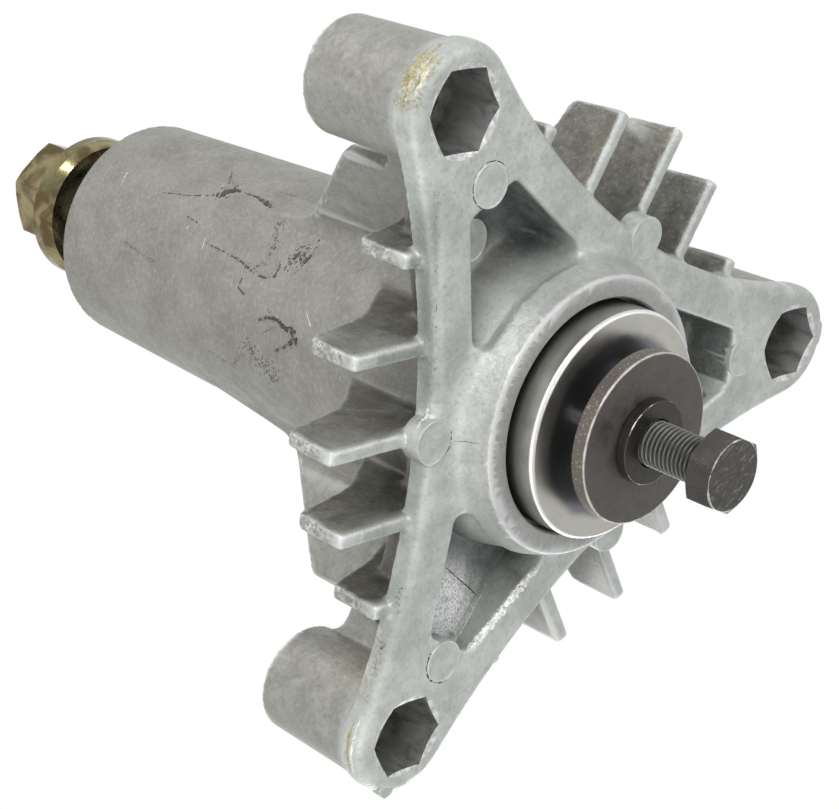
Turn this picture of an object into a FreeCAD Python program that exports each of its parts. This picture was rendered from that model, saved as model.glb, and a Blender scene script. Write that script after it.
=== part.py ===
import FreeCAD, Part
import math
import os

import Sketcher
from FreeCAD import Placement, Rotation, Vector

# Mower blade holder: a deck spindle. A die-cast housing hangs under the mower deck on three
# bolts, and a shaft turns in it on two ball bearings. The blade bolts to the lower end and a
# belt pulley clamps to the upper end.
# Frame: origin on the shaft axis in the plane of the deck seats, +Z up towards the pulley.
# Sizes that end in _rise are heights above the flange's front face. Lengths are in mm.

SIZES = {
    # Housing: the three deck bolts and their bosses
    "bolt_circle_r": 73.0,
    "boss_height": 30.9,
    "boss_top_r": 11.5,
    "boss_root_r": 12.0,
    "bolt_hole_r": 5.15,
    "socket_af": 15.3,
    "socket_depth": 12.0,
    "socket_turn": 30.0,
    "socket_mouth_r": 9.2,
    "socket_mouth_depth": 1.1,
    # Housing: the three-cornered flange
    "lug_r": 12.7,
    "waist_step": 0.6,
    "flange_t": 5.6,
    "flange_edge_r": 2.4,
    # Housing: hub, collar and tube
    "collar_step": 0.7,
    "collar_height": 7.5,
    "collar_edge_r": 0.5,
    "hub_front_step": 2.1,
    "hub_front_fillet": 3.0,
    "hub_floor_step": 3.9,
    "hub_rear_step": 6.9,
    "hub_rear_fillet": 6.0,
    "tube_root_r": 29.5,
    "tube_end_r": 25.2,
    "tube_end_rise": 134.2,
    "tube_edge": 0.5,
    # Housing: the three pockets behind the corners
    "pocket_depth": 12.6,
    "pocket_apex_r": 53.0,
    "pocket_apex_half": 6.6,
    "pocket_base_r": 27.3,
    "pocket_base_half": 16.7,
    "pocket_corner_r": 2.4,
    "pocket_floor_fillet": 2.2,
    "pocket_draft": 3.0,
    "pocket_wall": 3.3,
    "pocket_back": 3.6,
    "pocket_back_fillet": 2.5,
    # Housing: radial webs between tube and bosses
    "web_t": 3.6,
    "web_tip_inset": 19.8,
    "web_tip_rise": 40.2,
    "web_slope": 41.4,
    "web_shoulder_r": 29.4,
    "web_fade_r": 26.4,
    "web_fade_rise": 87.9,
    "web_step_rise": 26.3,
    "web_boss_climb": 4.0,
    "web_boss_inset": 1.0,
    "web_tip_round": 2.0,
    "web_step_round": 3.5,
    "web_shoulder_round": 12.0,
    "web_root_r": 26.3,
    "web_root_spread": 7.0,
    "web_root_round": 5.0,
    # Housing: cooling fins
    "fin_t": 3.2,
    "fin_pitch": 17.7,
    "fin_reach_middle": 59.8,
    "fin_reach_next": 55.7,
    "fin_reach_last": 45.0,
    "fin_front_rise": 3.3,
    "fin_tip_rise": 16.5,
    "fin_bend_middle": 42.0,
    "fin_bend_next": 38.5,
    "fin_bend_last": 31.5,
    "fin_bend_rise": 20.5,
    "fin_slope_middle": 0.9,
    "fin_slope_next": 0.75,
    "fin_slope_last": 0.55,
    "fin_foot_x": 20.5,
    "fin_tip_draft": 0.6,
    "fin_tip_round": 2.0,
    "fin_bend_round": 18.0,
    "fin_edge_round": 0.6,
    # Housing: round ejector pin marks left by the die
    "mark_r": 4.3,
    "mark_proud": 0.15,
    "side_mark_depth": 4.6,
    "corner_mark_at": 56.3,
    "side_mark_inset": 0.1,
    "floor_mark_at": 38.8,
    "floor_mark_proud": 0.7,
    # Housing: bearing seats and the bore between them
    "seat_step": 5.0,
    "guard_bore_r": 24.9,
    "guard_bore_edge": 0.5,
    "core_r": 18.4,
    "core_overlap": 3.0,
    "tool_overrun": 3.0,
    "upper_recess": 1.6,
    # Lower ball bearing, 20 x 47 x 14
    "lower_bore_r": 10.0,
    "lower_outer_r": 23.5,
    "lower_width": 14.0,
    "lower_pitch_r": 16.75,
    "lower_ball_r": 3.97,
    # Upper ball bearing, 17 x 40 x 12
    "upper_bore_r": 8.5,
    "upper_outer_r": 20.0,
    "upper_width": 12.0,
    "upper_pitch_r": 14.25,
    "upper_ball_r": 3.37,
    # Both bearings
    "ball_clearance": 0.08,
    "land_share": 0.85,
    "race_edge": 0.8,
    "seal_step": 0.7,
    "seal_t": 0.8,
    "seal_inset": 0.3,
    "seal_lip_gap": 0.3,
    "cage_half": 1.5,
    "cage_rim": 0.9,
    "cage_play": 0.12,
    # Spacer tube between the inner races
    "spacer_gap": 0.2,
    "spacer_wall": 2.6,
    # Shaft
    "disc_r": 23.55,
    "disc_proud": 5.7,
    "disc_t": 9.9,
    "disc_edge_r": 0.9,
    "shoulder_r": 13.0,
    "star_tip_r": 15.0,
    "star_valley_r": 9.6,
    "star_height": 4.2,
    "star_turn": 51.0,
    "star_tip_fillet": 2.2,
    "pulley_seat_r": 7.94,
    "pulley_seat_height": 16.6,
    "stud_r": 7.14,
    "stud_over": 2.0,
    "stud_edge": 1.0,
    "blade_tap_depth": 32.0,
    # Blade bolt, washers
    "bolt_r": 4.7,
    "bolt_length": 31.75,
    "bolt_head_af": 14.29,
    "bolt_head_height": 5.75,
    "bolt_head_turn": 55.0,
    "bolt_end_edge": 0.9,
    "tap_gap": 0.05,
    "blade_washer_r": 17.5,
    "blade_washer_hole_r": 5.15,
    "blade_washer_t": 3.3,
    "blade_washer_edge": 0.35,
    "blade_washer_gap": 0.25,
    "lock_washer_r": 8.6,
    "lock_washer_hole_r": 5.0,
    "lock_washer_t": 2.6,
    "lock_washer_slope": 0.3,
    "lock_washer_edge": 0.3,
    "lock_washer_slit": 1.0,
    "lock_washer_lean": 20.0,
    "lock_washer_slit_turn": -125.0,
    "bolt_out": 13.5,
    # Pulley end: cup washer and nut
    "cup_r": 17.1,
    "cup_rim_r": 16.1,
    "cup_height": 6.3,
    "cup_wall": 1.7,
    "cup_hole_r": 7.4,
    "nut_af": 22.2,
    "nut_height": 15.2,
    "nut_turn": 48.4,
    "nut_edge": 1.4,
}

CORNERS = (90.0, 210.0, 330.0)
SIDES = (150.0, 270.0, 30.0)
BALL_COUNT = 8
FIN_COUNT = 5

doc = FreeCAD.newDocument("blade_holder")
sheet = doc.addObject("Spreadsheet::Sheet", "Sizes")
for row, (alias, value) in enumerate(SIZES.items(), start=1):
    sheet.set("A%d" % row, alias)
    sheet.set("B%d" % row, str(value))
    sheet.setAlias("B%d" % row, alias)
doc.recompute()


def size(name):
    """The value of one named size in the sheet."""
    return float(getattr(sheet, name))


def formula(text):
    """Sizes are written by their bare names; this adds the sheet's name before each one."""
    words = "".join(c if c.isalnum() or c == "_" else " " for c in text).split()
    for word in sorted({w for w in words if w in SIZES}, key=len, reverse=True):
        pieces = []
        rest = text
        while word in rest:
            at = rest.index(word)
            end = at + len(word)
            before = rest[at - 1] if at else " "
            after = rest[end] if end < len(rest) else " "
            whole = not (before.isalnum() or before in "_.") and not (after.isalnum() or after == "_")
            pieces.append(rest[:at] + ("Sizes." + word if whole else word))
            rest = rest[end:]
        text = "".join(pieces) + rest
    return text


def worked_out(text):
    """The number that a formula of sizes gives now."""
    result = sheet.evalExpression(formula(text))
    return float(result.Value if hasattr(result, "Value") else result)


def bind(target, prop, text):
    """Tie a property to a formula of sizes."""
    target.setExpression(prop, formula(text))


def new_body(label):
    body = doc.addObject("PartDesign::Body", label)
    body.Label = label
    return body


def origin_feature(body, role):
    return next(item for item in body.Origin.OriginFeatures if item.Role == role)


def new_sketch(body, name, plane="XZ_Plane", height=None):
    sketch = body.newObject("Sketcher::SketchObject", name)
    sketch.AttachmentSupport = [(origin_feature(body, plane), "")]
    sketch.MapMode = "FlatFace"
    if height:
        bind(sketch, "AttachmentOffset.Base.z", height)
    return sketch


def tie_point(sketch, line, end, across, up):
    """Fix one end of a line by its two distances from the sketch's origin."""
    for kind, text in (("DistanceX", across), ("DistanceY", up)):
        index = sketch.addConstraint(Sketcher.Constraint(kind, -1, 1, line, end, worked_out(text)))
        bind(sketch, "Constraints[%d]" % index, text)


def add_outline(sketch, corners):
    """A closed loop of straight lines through corners, each a pair of formulas."""
    spots = [Vector(worked_out(across), worked_out(up), 0) for across, up in corners]
    lines = [
        sketch.addGeometry(Part.LineSegment(spot, spots[(i + 1) % len(spots)]))
        for i, spot in enumerate(spots)
    ]
    for i, line in enumerate(lines):
        after = lines[(i + 1) % len(lines)]
        sketch.addConstraint(Sketcher.Constraint("Coincident", line, 2, after, 1))
        tie_point(sketch, line, 1, *corners[i])


def add_circle(sketch, across, up, radius):
    circle = Part.Circle(Vector(worked_out(across), worked_out(up), 0), Vector(0, 0, 1), worked_out(radius))
    index = sketch.addGeometry(circle)
    tie_point(sketch, index, 3, across, up)
    number = sketch.addConstraint(Sketcher.Constraint("Radius", index, worked_out(radius)))
    bind(sketch, "Constraints[%d]" % number, radius)


def add_hexagon(sketch, across_flats, turn, centre=("0", "0")):
    """A hexagon by its width across flats, one corner at the angle turn."""
    corners = []
    for i in range(6):
        angle = "(%s + %d)" % (turn, 60 * i)
        reach = "%s / 2 / cos(30)" % across_flats
        corners.append((
            "%s + %s * cos(%s)" % (centre[0], reach, angle),
            "%s + %s * sin(%s)" % (centre[1], reach, angle),
        ))
    add_outline(sketch, corners)


def revolve(body, name, corners):
    """Turn a profile of (radius, height) corners about the shaft axis."""
    sketch = new_sketch(body, name + "_profile")
    add_outline(sketch, corners)
    turned = body.newObject("PartDesign::Revolution", name)
    turned.Profile = sketch
    turned.ReferenceAxis = (sketch, ["V_Axis"])
    turned.Angle = 360.0
    doc.recompute()
    return turned


def groove(body, name, across, up, radius):
    """Turn a round groove about the shaft axis."""
    sketch = new_sketch(body, name + "_profile")
    add_circle(sketch, across, up, radius)
    cut = body.newObject("PartDesign::Groove", name)
    cut.Profile = sketch
    cut.ReferenceAxis = (sketch, ["V_Axis"])
    cut.Angle = 360.0
    doc.recompute()
    return cut


def pad(body, name, sketch, length, both_ways=False, taper=None):
    raised = body.newObject("PartDesign::Pad", name)
    raised.Profile = sketch
    raised.Midplane = both_ways
    bind(raised, "Length", length)
    if taper:
        bind(raised, "TaperAngle", taper)
    doc.recompute()
    return raised


def pocket(body, name, sketch, length, upwards=False):
    cut = body.newObject("PartDesign::Pocket", name)
    cut.Profile = sketch
    cut.Reversed = upwards
    bind(cut, "Length", length)
    doc.recompute()
    return cut


def dress(body, name, kind, base, amount, chosen):
    """Fillet or chamfer the edges of a feature that the test chosen picks."""
    doc.recompute()
    edges = ["Edge%d" % (i + 1) for i, edge in enumerate(base.Shape.Edges) if chosen(edge)]
    if not edges:
        raise RuntimeError("no edge to dress on " + name)
    feature = body.newObject("PartDesign::" + kind, name)
    feature.Base = (base, edges)
    bind(feature, "Radius" if kind == "Fillet" else "Size", amount)
    doc.recompute()
    return feature


def ring_edge(*places):
    """A test for full circles about the shaft axis at (radius, height) places."""
    spots = [(worked_out(r), worked_out(z)) for r, z in places]

    def chosen(edge):
        curve = edge.Curve
        if not isinstance(curve, Part.Circle):
            return False
        if math.hypot(curve.Center.x, curve.Center.y) > 1e-4:
            return False
        return any(abs(curve.Radius - r) < 1e-3 and abs(curve.Center.z - z) < 1e-3 for r, z in spots)

    return chosen


def level_edge(height):
    """A test for edges that lie flat at one height."""
    level = worked_out(height)

    def chosen(edge):
        box = edge.BoundBox
        return abs(box.ZMin - level) < 1e-3 and abs(box.ZMax - level) < 1e-3

    return chosen


def upright_edge(radius):
    """A test for straight edges along Z at one distance from the shaft axis."""
    reach = worked_out(radius)

    def chosen(edge):
        box = edge.BoundBox
        if box.XLength > 1e-3 or box.YLength > 1e-3:
            return False
        return abs(math.hypot(box.XMin, box.YMin) - reach) < 1e-3

    return chosen


def combine(kind, label, shapes):
    """One boolean of several shapes: a MultiFuse, MultiCommon or Compound."""
    result = doc.addObject(kind, label)
    if kind == "Part::Compound":
        result.Links = shapes
    else:
        result.Shapes = shapes
        result.Refine = True
    result.Label = label
    return result


def cut_away(label, base, tool):
    result = doc.addObject("Part::Cut", label)
    result.Base = base
    result.Tool = tool
    result.Refine = True
    result.Label = label
    return result


def turned_by(degrees):
    return Rotation(Vector(0, 0, 1), degrees)


def on_ray(degrees, reach, height=0.0):
    """The point at a distance from the shaft axis in one direction."""
    angle = math.radians(degrees)
    return Vector(reach * math.cos(angle), reach * math.sin(angle), height)


def upright_cylinder(label, radius, bottom, top, centre):
    """A cylinder along Z between two heights, each a formula."""
    post = doc.addObject("Part::Cylinder", label)
    bind(post, "Radius", radius)
    bind(post, "Height", "(%s) - (%s)" % (top, bottom))
    post.Placement = Placement(Vector(centre.x, centre.y, worked_out(bottom)), Rotation())
    return post


# Radii and heights that several pieces share, as formulas of the sizes
COLLAR_R = "tube_root_r - collar_step"
HUB_FRONT_R = "tube_root_r + hub_front_step"
HUB_FLOOR_R = "tube_root_r + hub_floor_step"
HUB_REAR_R = "tube_root_r + hub_rear_step"
WAIST_R = HUB_REAR_R + " + waist_step"
WEB_TIP_R = "bolt_circle_r - web_tip_inset"
FLANGE_FRONT = "-boss_height"
FLANGE_BACK = "-boss_height + flange_t"
COLLAR_FRONT = "-boss_height - collar_height"
LOWER_SEAT = "-boss_height - collar_height + seat_step"
LOWER_MID = LOWER_SEAT + " + lower_width / 2"
LOWER_TOP = LOWER_SEAT + " + lower_width"
TUBE_END = "-boss_height + tube_end_rise"
UPPER_TOP = TUBE_END + " - upper_recess"
UPPER_MID = UPPER_TOP + " - upper_width / 2"
UPPER_BOTTOM = UPPER_TOP + " - upper_width"
DISC_FRONT = COLLAR_FRONT + " - disc_proud"
STAR_FRONT = DISC_FRONT + " - star_height"
WASHER_BACK = STAR_FRONT + " - blade_washer_gap"
WASHER_FRONT = WASHER_BACK + " - blade_washer_t"
LOCK_FRONT = WASHER_FRONT + " - lock_washer_t"
HEAD_SEAT = LOCK_FRONT + " - bolt_out"
HEAD_FRONT = HEAD_SEAT + " - bolt_head_height"
CUP_RIM = UPPER_TOP + " + pulley_seat_height + upper_recess"
CUP_TOP = CUP_RIM + " + cup_height"
NUT_TOP = CUP_TOP + " + nut_height"
STUD_END = NUT_TOP + " + stud_over"


def housing_hub():
    """The turned form of the casting: collar, hub and tapering tube, still solid."""
    body = new_body("casting_hub")
    base = revolve(body, "hub", [
        ("0", COLLAR_FRONT),
        (COLLAR_R, COLLAR_FRONT),
        (HUB_FRONT_R, FLANGE_FRONT),
        (HUB_REAR_R, FLANGE_FRONT),
        (HUB_REAR_R, FLANGE_BACK),
        ("tube_root_r", FLANGE_BACK),
        ("tube_end_r", TUBE_END),
        ("0", TUBE_END),
    ])
    front = dress(body, "hub_front_round", "Fillet", base, "hub_front_fillet",
                  ring_edge((HUB_FRONT_R, FLANGE_FRONT)))
    rear = dress(body, "hub_rear_round", "Fillet", front, "hub_rear_fillet",
                 ring_edge(("tube_root_r", FLANGE_BACK)))
    collar = dress(body, "collar_round", "Fillet", rear, "collar_edge_r",
                   ring_edge((COLLAR_R, COLLAR_FRONT)))
    dress(body, "tube_edge_break", "Chamfer", collar, "tube_edge", ring_edge(("tube_end_r", TUBE_END)))
    return body


def flange_outline():
    """Three lug arcs joined by three hollow side arcs that touch them smoothly."""
    lug_r = size("lug_r")
    reach = size("bolt_circle_r")
    waist = worked_out(WAIST_R)
    half_side = reach * math.sin(math.radians(60))
    lug_drop = reach * math.cos(math.radians(60))
    rise = waist - lug_drop
    side_r = (half_side ** 2 + rise ** 2 - lug_r ** 2) / (2 * (lug_r - rise))
    edges = []
    for corner, side in zip(CORNERS, SIDES):
        lug = on_ray(corner, reach)
        next_lug = on_ray(corner + 120, reach)
        side_centre = on_ray(side, waist + side_r)
        before = on_ray(side - 120, waist + side_r)
        arrive = lug + (before - lug).normalize() * lug_r
        leave = lug + (side_centre - lug).normalize() * lug_r
        land = next_lug + (side_centre - next_lug).normalize() * lug_r
        edges.append(Part.Arc(arrive, on_ray(corner, reach + lug_r), leave).toShape())
        edges.append(Part.Arc(leave, on_ray(side, waist), land).toShape())
    return Part.Wire(edges)


def housing_flange():
    """The three-cornered plate. Its outline needs arcs that touch, so code draws it."""
    outline = doc.addObject("Part::Feature", "flange_outline")
    outline.Shape = flange_outline()
    plate = doc.addObject("Part::Extrusion", "flange_plate")
    plate.Base = outline
    plate.DirMode = "Custom"
    plate.Dir = Vector(0, 0, 1)
    plate.Solid = True
    bind(plate, "LengthFwd", "flange_t")
    plate.Placement = Placement(Vector(0, 0, worked_out(FLANGE_FRONT)), Rotation())
    doc.recompute()
    rounded = doc.addObject("Part::Fillet", "casting_flange")
    rounded.Base = plate
    radius = size("flange_edge_r")
    front = level_edge(FLANGE_FRONT)
    rounded.Edges = [
        (i + 1, radius, radius) for i, edge in enumerate(plate.Shape.Edges) if front(edge)
    ]
    doc.recompute()
    return rounded


def housing_boss(number, corner):
    """A tapering boss with the deck bolt's seat on its upper end."""
    boss = doc.addObject("Part::Cone", "casting_boss_%d" % number)
    bind(boss, "Radius1", "boss_root_r")
    bind(boss, "Radius2", "boss_top_r")
    bind(boss, "Height", "boss_height - flange_edge_r")
    place = on_ray(corner, size("bolt_circle_r"), worked_out("flange_edge_r - boss_height"))
    boss.Placement = Placement(place, Rotation())
    return boss


def housing_web(corner):
    """A radial web: its side view crossed with its plan, which spreads where it meets the tube."""
    side_view = new_body("web_side_view")
    sketch = new_sketch(side_view, "web_side", "YZ_Plane")
    inner = "core_r + core_overlap"
    foot = FLANGE_FRONT + " + pocket_depth + pocket_back / 2"
    boss_side = "bolt_circle_r - boss_top_r"
    step = FLANGE_FRONT + " + web_step_rise"
    tip = FLANGE_FRONT + " + web_tip_rise"
    fade = FLANGE_FRONT + " + web_fade_rise"
    step_corner = (boss_side + " - web_step_round / 2", step)
    climb = "(" + WEB_TIP_R + " - web_shoulder_r) * tan(web_slope)"
    shoulder_corner = ("web_shoulder_r", tip + " + " + climb)
    add_outline(sketch, [
        (inner, fade),
        (inner, foot),
        ("bolt_circle_r", foot),
        ("bolt_circle_r", step + " + web_boss_climb"),
        (boss_side + " + web_boss_inset", step + " + web_boss_climb"),
        step_corner,
        (WEB_TIP_R, step),
        (WEB_TIP_R, tip),
        shoulder_corner,
        ("web_fade_r", fade),
    ])
    web = pad(side_view, "web_slab", sketch, "web_root_spread * 2", both_ways=True)

    def crosswise_at(*places):
        spots = [(worked_out(reach), worked_out(height)) for reach, height in places]

        def chosen(edge):
            box = edge.BoundBox
            if box.YLength > 1e-3 or box.ZLength > 1e-3:
                return False
            return any(abs(box.YMin - y) < 1e-3 and abs(box.ZMin - z) < 1e-3 for y, z in spots)

        return chosen

    shoulder = dress(side_view, "web_shoulder", "Fillet", web, "web_shoulder_round",
                     crosswise_at(shoulder_corner))
    point = dress(side_view, "web_tip", "Fillet", shoulder, "web_tip_round", crosswise_at((WEB_TIP_R, tip)))
    dress(side_view, "web_step", "Fillet", point, "web_step_round",
          crosswise_at((WEB_TIP_R, step), step_corner))

    plan = new_body("web_plan")
    sketch = new_sketch(plan, "web_outline", "XY_Plane", foot)
    add_outline(sketch, [
        ("-web_t / 2", "bolt_circle_r"),
        ("-web_t / 2", "web_root_r"),
        ("-web_root_spread", "web_root_r"),
        ("-web_root_spread", inner),
        ("web_root_spread", inner),
        ("web_root_spread", "web_root_r"),
        ("web_t / 2", "web_root_r"),
        ("web_t / 2", "bolt_circle_r"),
    ])
    column = pad(plan, "web_column", sketch, "(%s) - (%s)" % (fade, foot))
    side = size("web_t") / 2
    reach = size("web_root_r")

    def at_root(edge):
        box = edge.BoundBox
        return box.XLength < 1e-3 and box.YLength < 1e-3 and \
            abs(box.YMin - reach) < 1e-3 and abs(abs(box.XMin) - side) < 1e-3

    dress(plan, "web_root", "Fillet", column, "web_root_round", at_root)
    web = combine("Part::MultiCommon", "casting_web", [side_view, plan])
    web.Placement = Placement(Vector(), turned_by(corner - 90))
    return web


def housing_fin(side, place):
    """One cooling fin: a plate with a hollow back, standing square off one side. Place 0 is the middle."""
    kind = ("middle", "next", "last")[abs(place)]
    reach = "fin_reach_" + kind
    bend_at = "fin_bend_" + kind
    body = new_body("casting_fin")
    sketch = new_sketch(body, "fin_profile")
    fin_front = FLANGE_FRONT + " + fin_front_rise"
    fin_tip = FLANGE_FRONT + " + fin_tip_rise"
    fin_bend = FLANGE_FRONT + " + fin_bend_rise"
    add_outline(sketch, [
        ("fin_foot_x", fin_front),
        (reach, fin_front),
        (reach + " - fin_tip_draft", fin_tip),
        (bend_at, fin_bend),
        ("fin_foot_x", fin_bend + " + (%s - fin_foot_x) * fin_slope_%s" % (bend_at, kind)),
    ])
    plate = pad(body, "fin", sketch, "fin_t", both_ways=True)
    bend_x = worked_out(bend_at)
    front = worked_out(fin_front)
    tip_x = worked_out(reach)
    tip_z = worked_out(fin_tip)

    def crosswise(edge):
        box = edge.BoundBox
        return box.XLength < 1e-3 and box.ZLength < 1e-3

    def at_bend(edge):
        return crosswise(edge) and abs(edge.BoundBox.XMin - bend_x) < 1e-3

    def at_tip(edge):
        return crosswise(edge) and abs(edge.BoundBox.ZMin - tip_z) < 1e-3

    def at_front(edge):
        box = edge.BoundBox
        return box.ZLength < 1e-3 and abs(box.ZMin - front) < 1e-3 and box.XMax > tip_x - 1

    bend = dress(body, "fin_bend", "Fillet", plate, "fin_bend_round", at_bend)
    tip = dress(body, "fin_tip", "Fillet", bend, "fin_tip_round", at_tip)
    dress(body, "fin_front", "Fillet", tip, "fin_edge_round", at_front)
    turn = turned_by(side)
    body.Placement = Placement(turn.multVec(Vector(0, place * size("fin_pitch"), 0)), turn)
    return body


def pocket_outline(foot, grow="0"):
    """The three-sided pocket in the corner at +Y, from foot outwards and grown by a wall."""
    return [
        ("-(pocket_apex_half + %s)" % grow, "pocket_apex_r + %s" % grow),
        ("-(pocket_base_half + %s)" % grow, foot),
        ("pocket_base_half + %s" % grow, foot),
        ("pocket_apex_half + %s" % grow, "pocket_apex_r + %s" % grow),
    ]


def upright_corners(body, name, base, amount, nearest, furthest):
    """Round the near-upright corner edges that stand between two distances from the shaft axis."""
    def chosen(edge):
        box = edge.BoundBox
        reach = math.hypot(box.Center.x, box.Center.y)
        return box.ZLength > 5 and nearest < reach < furthest
    return dress(body, name, "Fillet", base, amount, chosen)


def pocket_box(corner):
    """The walls and back that close one pocket from behind."""
    body = new_body("casting_pocket_box")
    sketch = new_sketch(body, "box_outline", "XY_Plane", FLANGE_FRONT + " + flange_edge_r")
    add_outline(sketch, pocket_outline("core_r + core_overlap", "pocket_wall"))
    box = pad(body, "box", sketch, "pocket_depth + pocket_back - flange_edge_r", taper="-pocket_draft")
    corners = upright_corners(body, "box_corners", box, "pocket_corner_r + pocket_wall",
                              worked_out(HUB_REAR_R), size("bolt_circle_r"))
    level = level_edge(FLANGE_FRONT + " + pocket_depth + pocket_back")
    dress(body, "box_back_round", "Fillet", corners, "pocket_back_fillet", level)
    body.Placement = Placement(Vector(), turned_by(corner - 90))
    return body


def pocket_prism(corner):
    """The drafted space of one pocket, with rounded corners and floor."""
    body = new_body("pocket_prism")
    overrun = "pocket_back / 2"
    sketch = new_sketch(body, "pocket_outline", "XY_Plane", FLANGE_FRONT + " - " + overrun)
    add_outline(sketch, pocket_outline("pocket_base_r"))
    prism = pad(body, "prism", sketch, "pocket_depth + " + overrun, taper="-pocket_draft")
    corners = upright_corners(body, "prism_corners", prism, "pocket_corner_r",
                              worked_out(COLLAR_R), size("bolt_circle_r"))
    floor = level_edge(FLANGE_FRONT + " + pocket_depth")
    dress(body, "prism_floor_round", "Fillet", corners, "pocket_floor_fillet", floor)
    body.Placement = Placement(Vector(), turned_by(corner - 90))
    return body


def pocket_tool():
    """What is taken out of the three corners: the pockets, less the hub's sloping flank."""
    flank = new_body("hub_flank")
    floor_z = FLANGE_FRONT + " + pocket_depth"
    cone = revolve(flank, "flank", [
        ("0", COLLAR_FRONT),
        (COLLAR_R, COLLAR_FRONT),
        (HUB_FLOOR_R, floor_z),
        ("bolt_circle_r", floor_z),
        ("bolt_circle_r", floor_z + " + pocket_back"),
        ("0", floor_z + " + pocket_back"),
    ])
    dress(flank, "flank_round", "Fillet", cone, "pocket_floor_fillet", ring_edge((HUB_FLOOR_R, floor_z)))
    prisms = combine("Part::MultiFuse", "pocket_prisms", [pocket_prism(corner) for corner in CORNERS])
    return cut_away("pocket_tool", prisms, flank)


def ejector_marks():
    """Round pads where the die's ejector pins pushed: six in front, three on the pocket floors."""
    pads = []
    front = FLANGE_FRONT + " - mark_proud"
    for corner in CORNERS:
        pads.append(upright_cylinder("corner_mark", "mark_r", front, FLANGE_FRONT + " + pocket_depth",
                                     on_ray(corner, size("corner_mark_at"))))
    for side in SIDES:
        pads.append(upright_cylinder("side_mark", "mark_r", front, FLANGE_FRONT + " + side_mark_depth",
                                     on_ray(side, worked_out(WAIST_R + " - side_mark_inset"))))
    return pads


def floor_marks():
    floor = FLANGE_FRONT + " + pocket_depth"
    return [
        upright_cylinder("floor_mark", "mark_r", floor + " - floor_mark_proud", floor + " + pocket_back / 2",
                         on_ray(corner, size("floor_mark_at")))
        for corner in CORNERS
    ]


def bore_tool():
    """The bored inside: guard bore, two bearing seats and the cored middle."""
    body = new_body("bore_tool")
    revolve(body, "bore", [
        ("0", COLLAR_FRONT + " - tool_overrun"),
        ("guard_bore_r + guard_bore_edge", COLLAR_FRONT + " - tool_overrun"),
        ("guard_bore_r + guard_bore_edge", COLLAR_FRONT),
        ("guard_bore_r", COLLAR_FRONT + " + guard_bore_edge"),
        ("guard_bore_r", LOWER_SEAT),
        ("lower_outer_r", LOWER_SEAT),
        ("lower_outer_r", LOWER_TOP),
        ("core_r", LOWER_TOP),
        ("core_r", UPPER_BOTTOM),
        ("upper_outer_r", UPPER_BOTTOM),
        ("upper_outer_r", TUBE_END + " - race_edge"),
        ("upper_outer_r + race_edge", TUBE_END),
        ("upper_outer_r + race_edge", TUBE_END + " + tool_overrun"),
        ("0", TUBE_END + " + tool_overrun"),
    ])
    return body


def socket_tools():
    """Hexagon sockets for the deck bolts' heads, and the holes that carry on through."""
    tools = []
    for number, corner in enumerate(CORNERS, start=1):
        body = new_body("socket_%d" % number)
        sketch = new_sketch(body, "socket_hexagon", "XY_Plane", FLANGE_FRONT + " - tool_overrun")
        centre = ("bolt_circle_r * cos(%d)" % corner, "bolt_circle_r * sin(%d)" % corner)
        add_hexagon(sketch, "socket_af", "socket_turn", centre)
        pad(body, "socket", sketch, "socket_depth + tool_overrun")
        tools.append(body)
        tools.append(upright_cylinder("bolt_hole", "bolt_hole_r", FLANGE_FRONT, "boss_height / 4",
                                      on_ray(corner, size("bolt_circle_r"))))
        mouth = doc.addObject("Part::Cone", "socket_mouth")
        bind(mouth, "Radius1", "socket_mouth_r")
        bind(mouth, "Radius2", "socket_af / 2")
        bind(mouth, "Height", "socket_mouth_depth")
        mouth.Placement = Placement(
            on_ray(corner, size("bolt_circle_r"), worked_out(FLANGE_FRONT)), Rotation())
        tools.append(mouth)
    return tools


def housing():
    """The one-piece casting, fused from its forms and then bored, pocketed and socketed."""
    solids = [housing_hub(), housing_flange()]
    solids += [pocket_box(corner) for corner in CORNERS]
    solids += [housing_web(corner) for corner in CORNERS]
    outermost = FIN_COUNT // 2
    solids += [housing_fin(side, place) for side in SIDES for place in range(-outermost, outermost + 1)]
    solids += [housing_boss(number, corner) for number, corner in enumerate(CORNERS, start=1)]
    pockets = pocket_tool()
    marks = ejector_marks() + floor_marks()
    bores = [bore_tool()] + socket_tools()
    raw = combine("Part::MultiFuse", "casting_raw", solids)
    pocketed = cut_away("casting_pocketed", raw, pockets)
    marked = combine("Part::MultiFuse", "casting_marked", [pocketed] + marks)
    tools = combine("Part::MultiFuse", "casting_bores", bores)
    return cut_away("housing", marked, tools)


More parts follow.
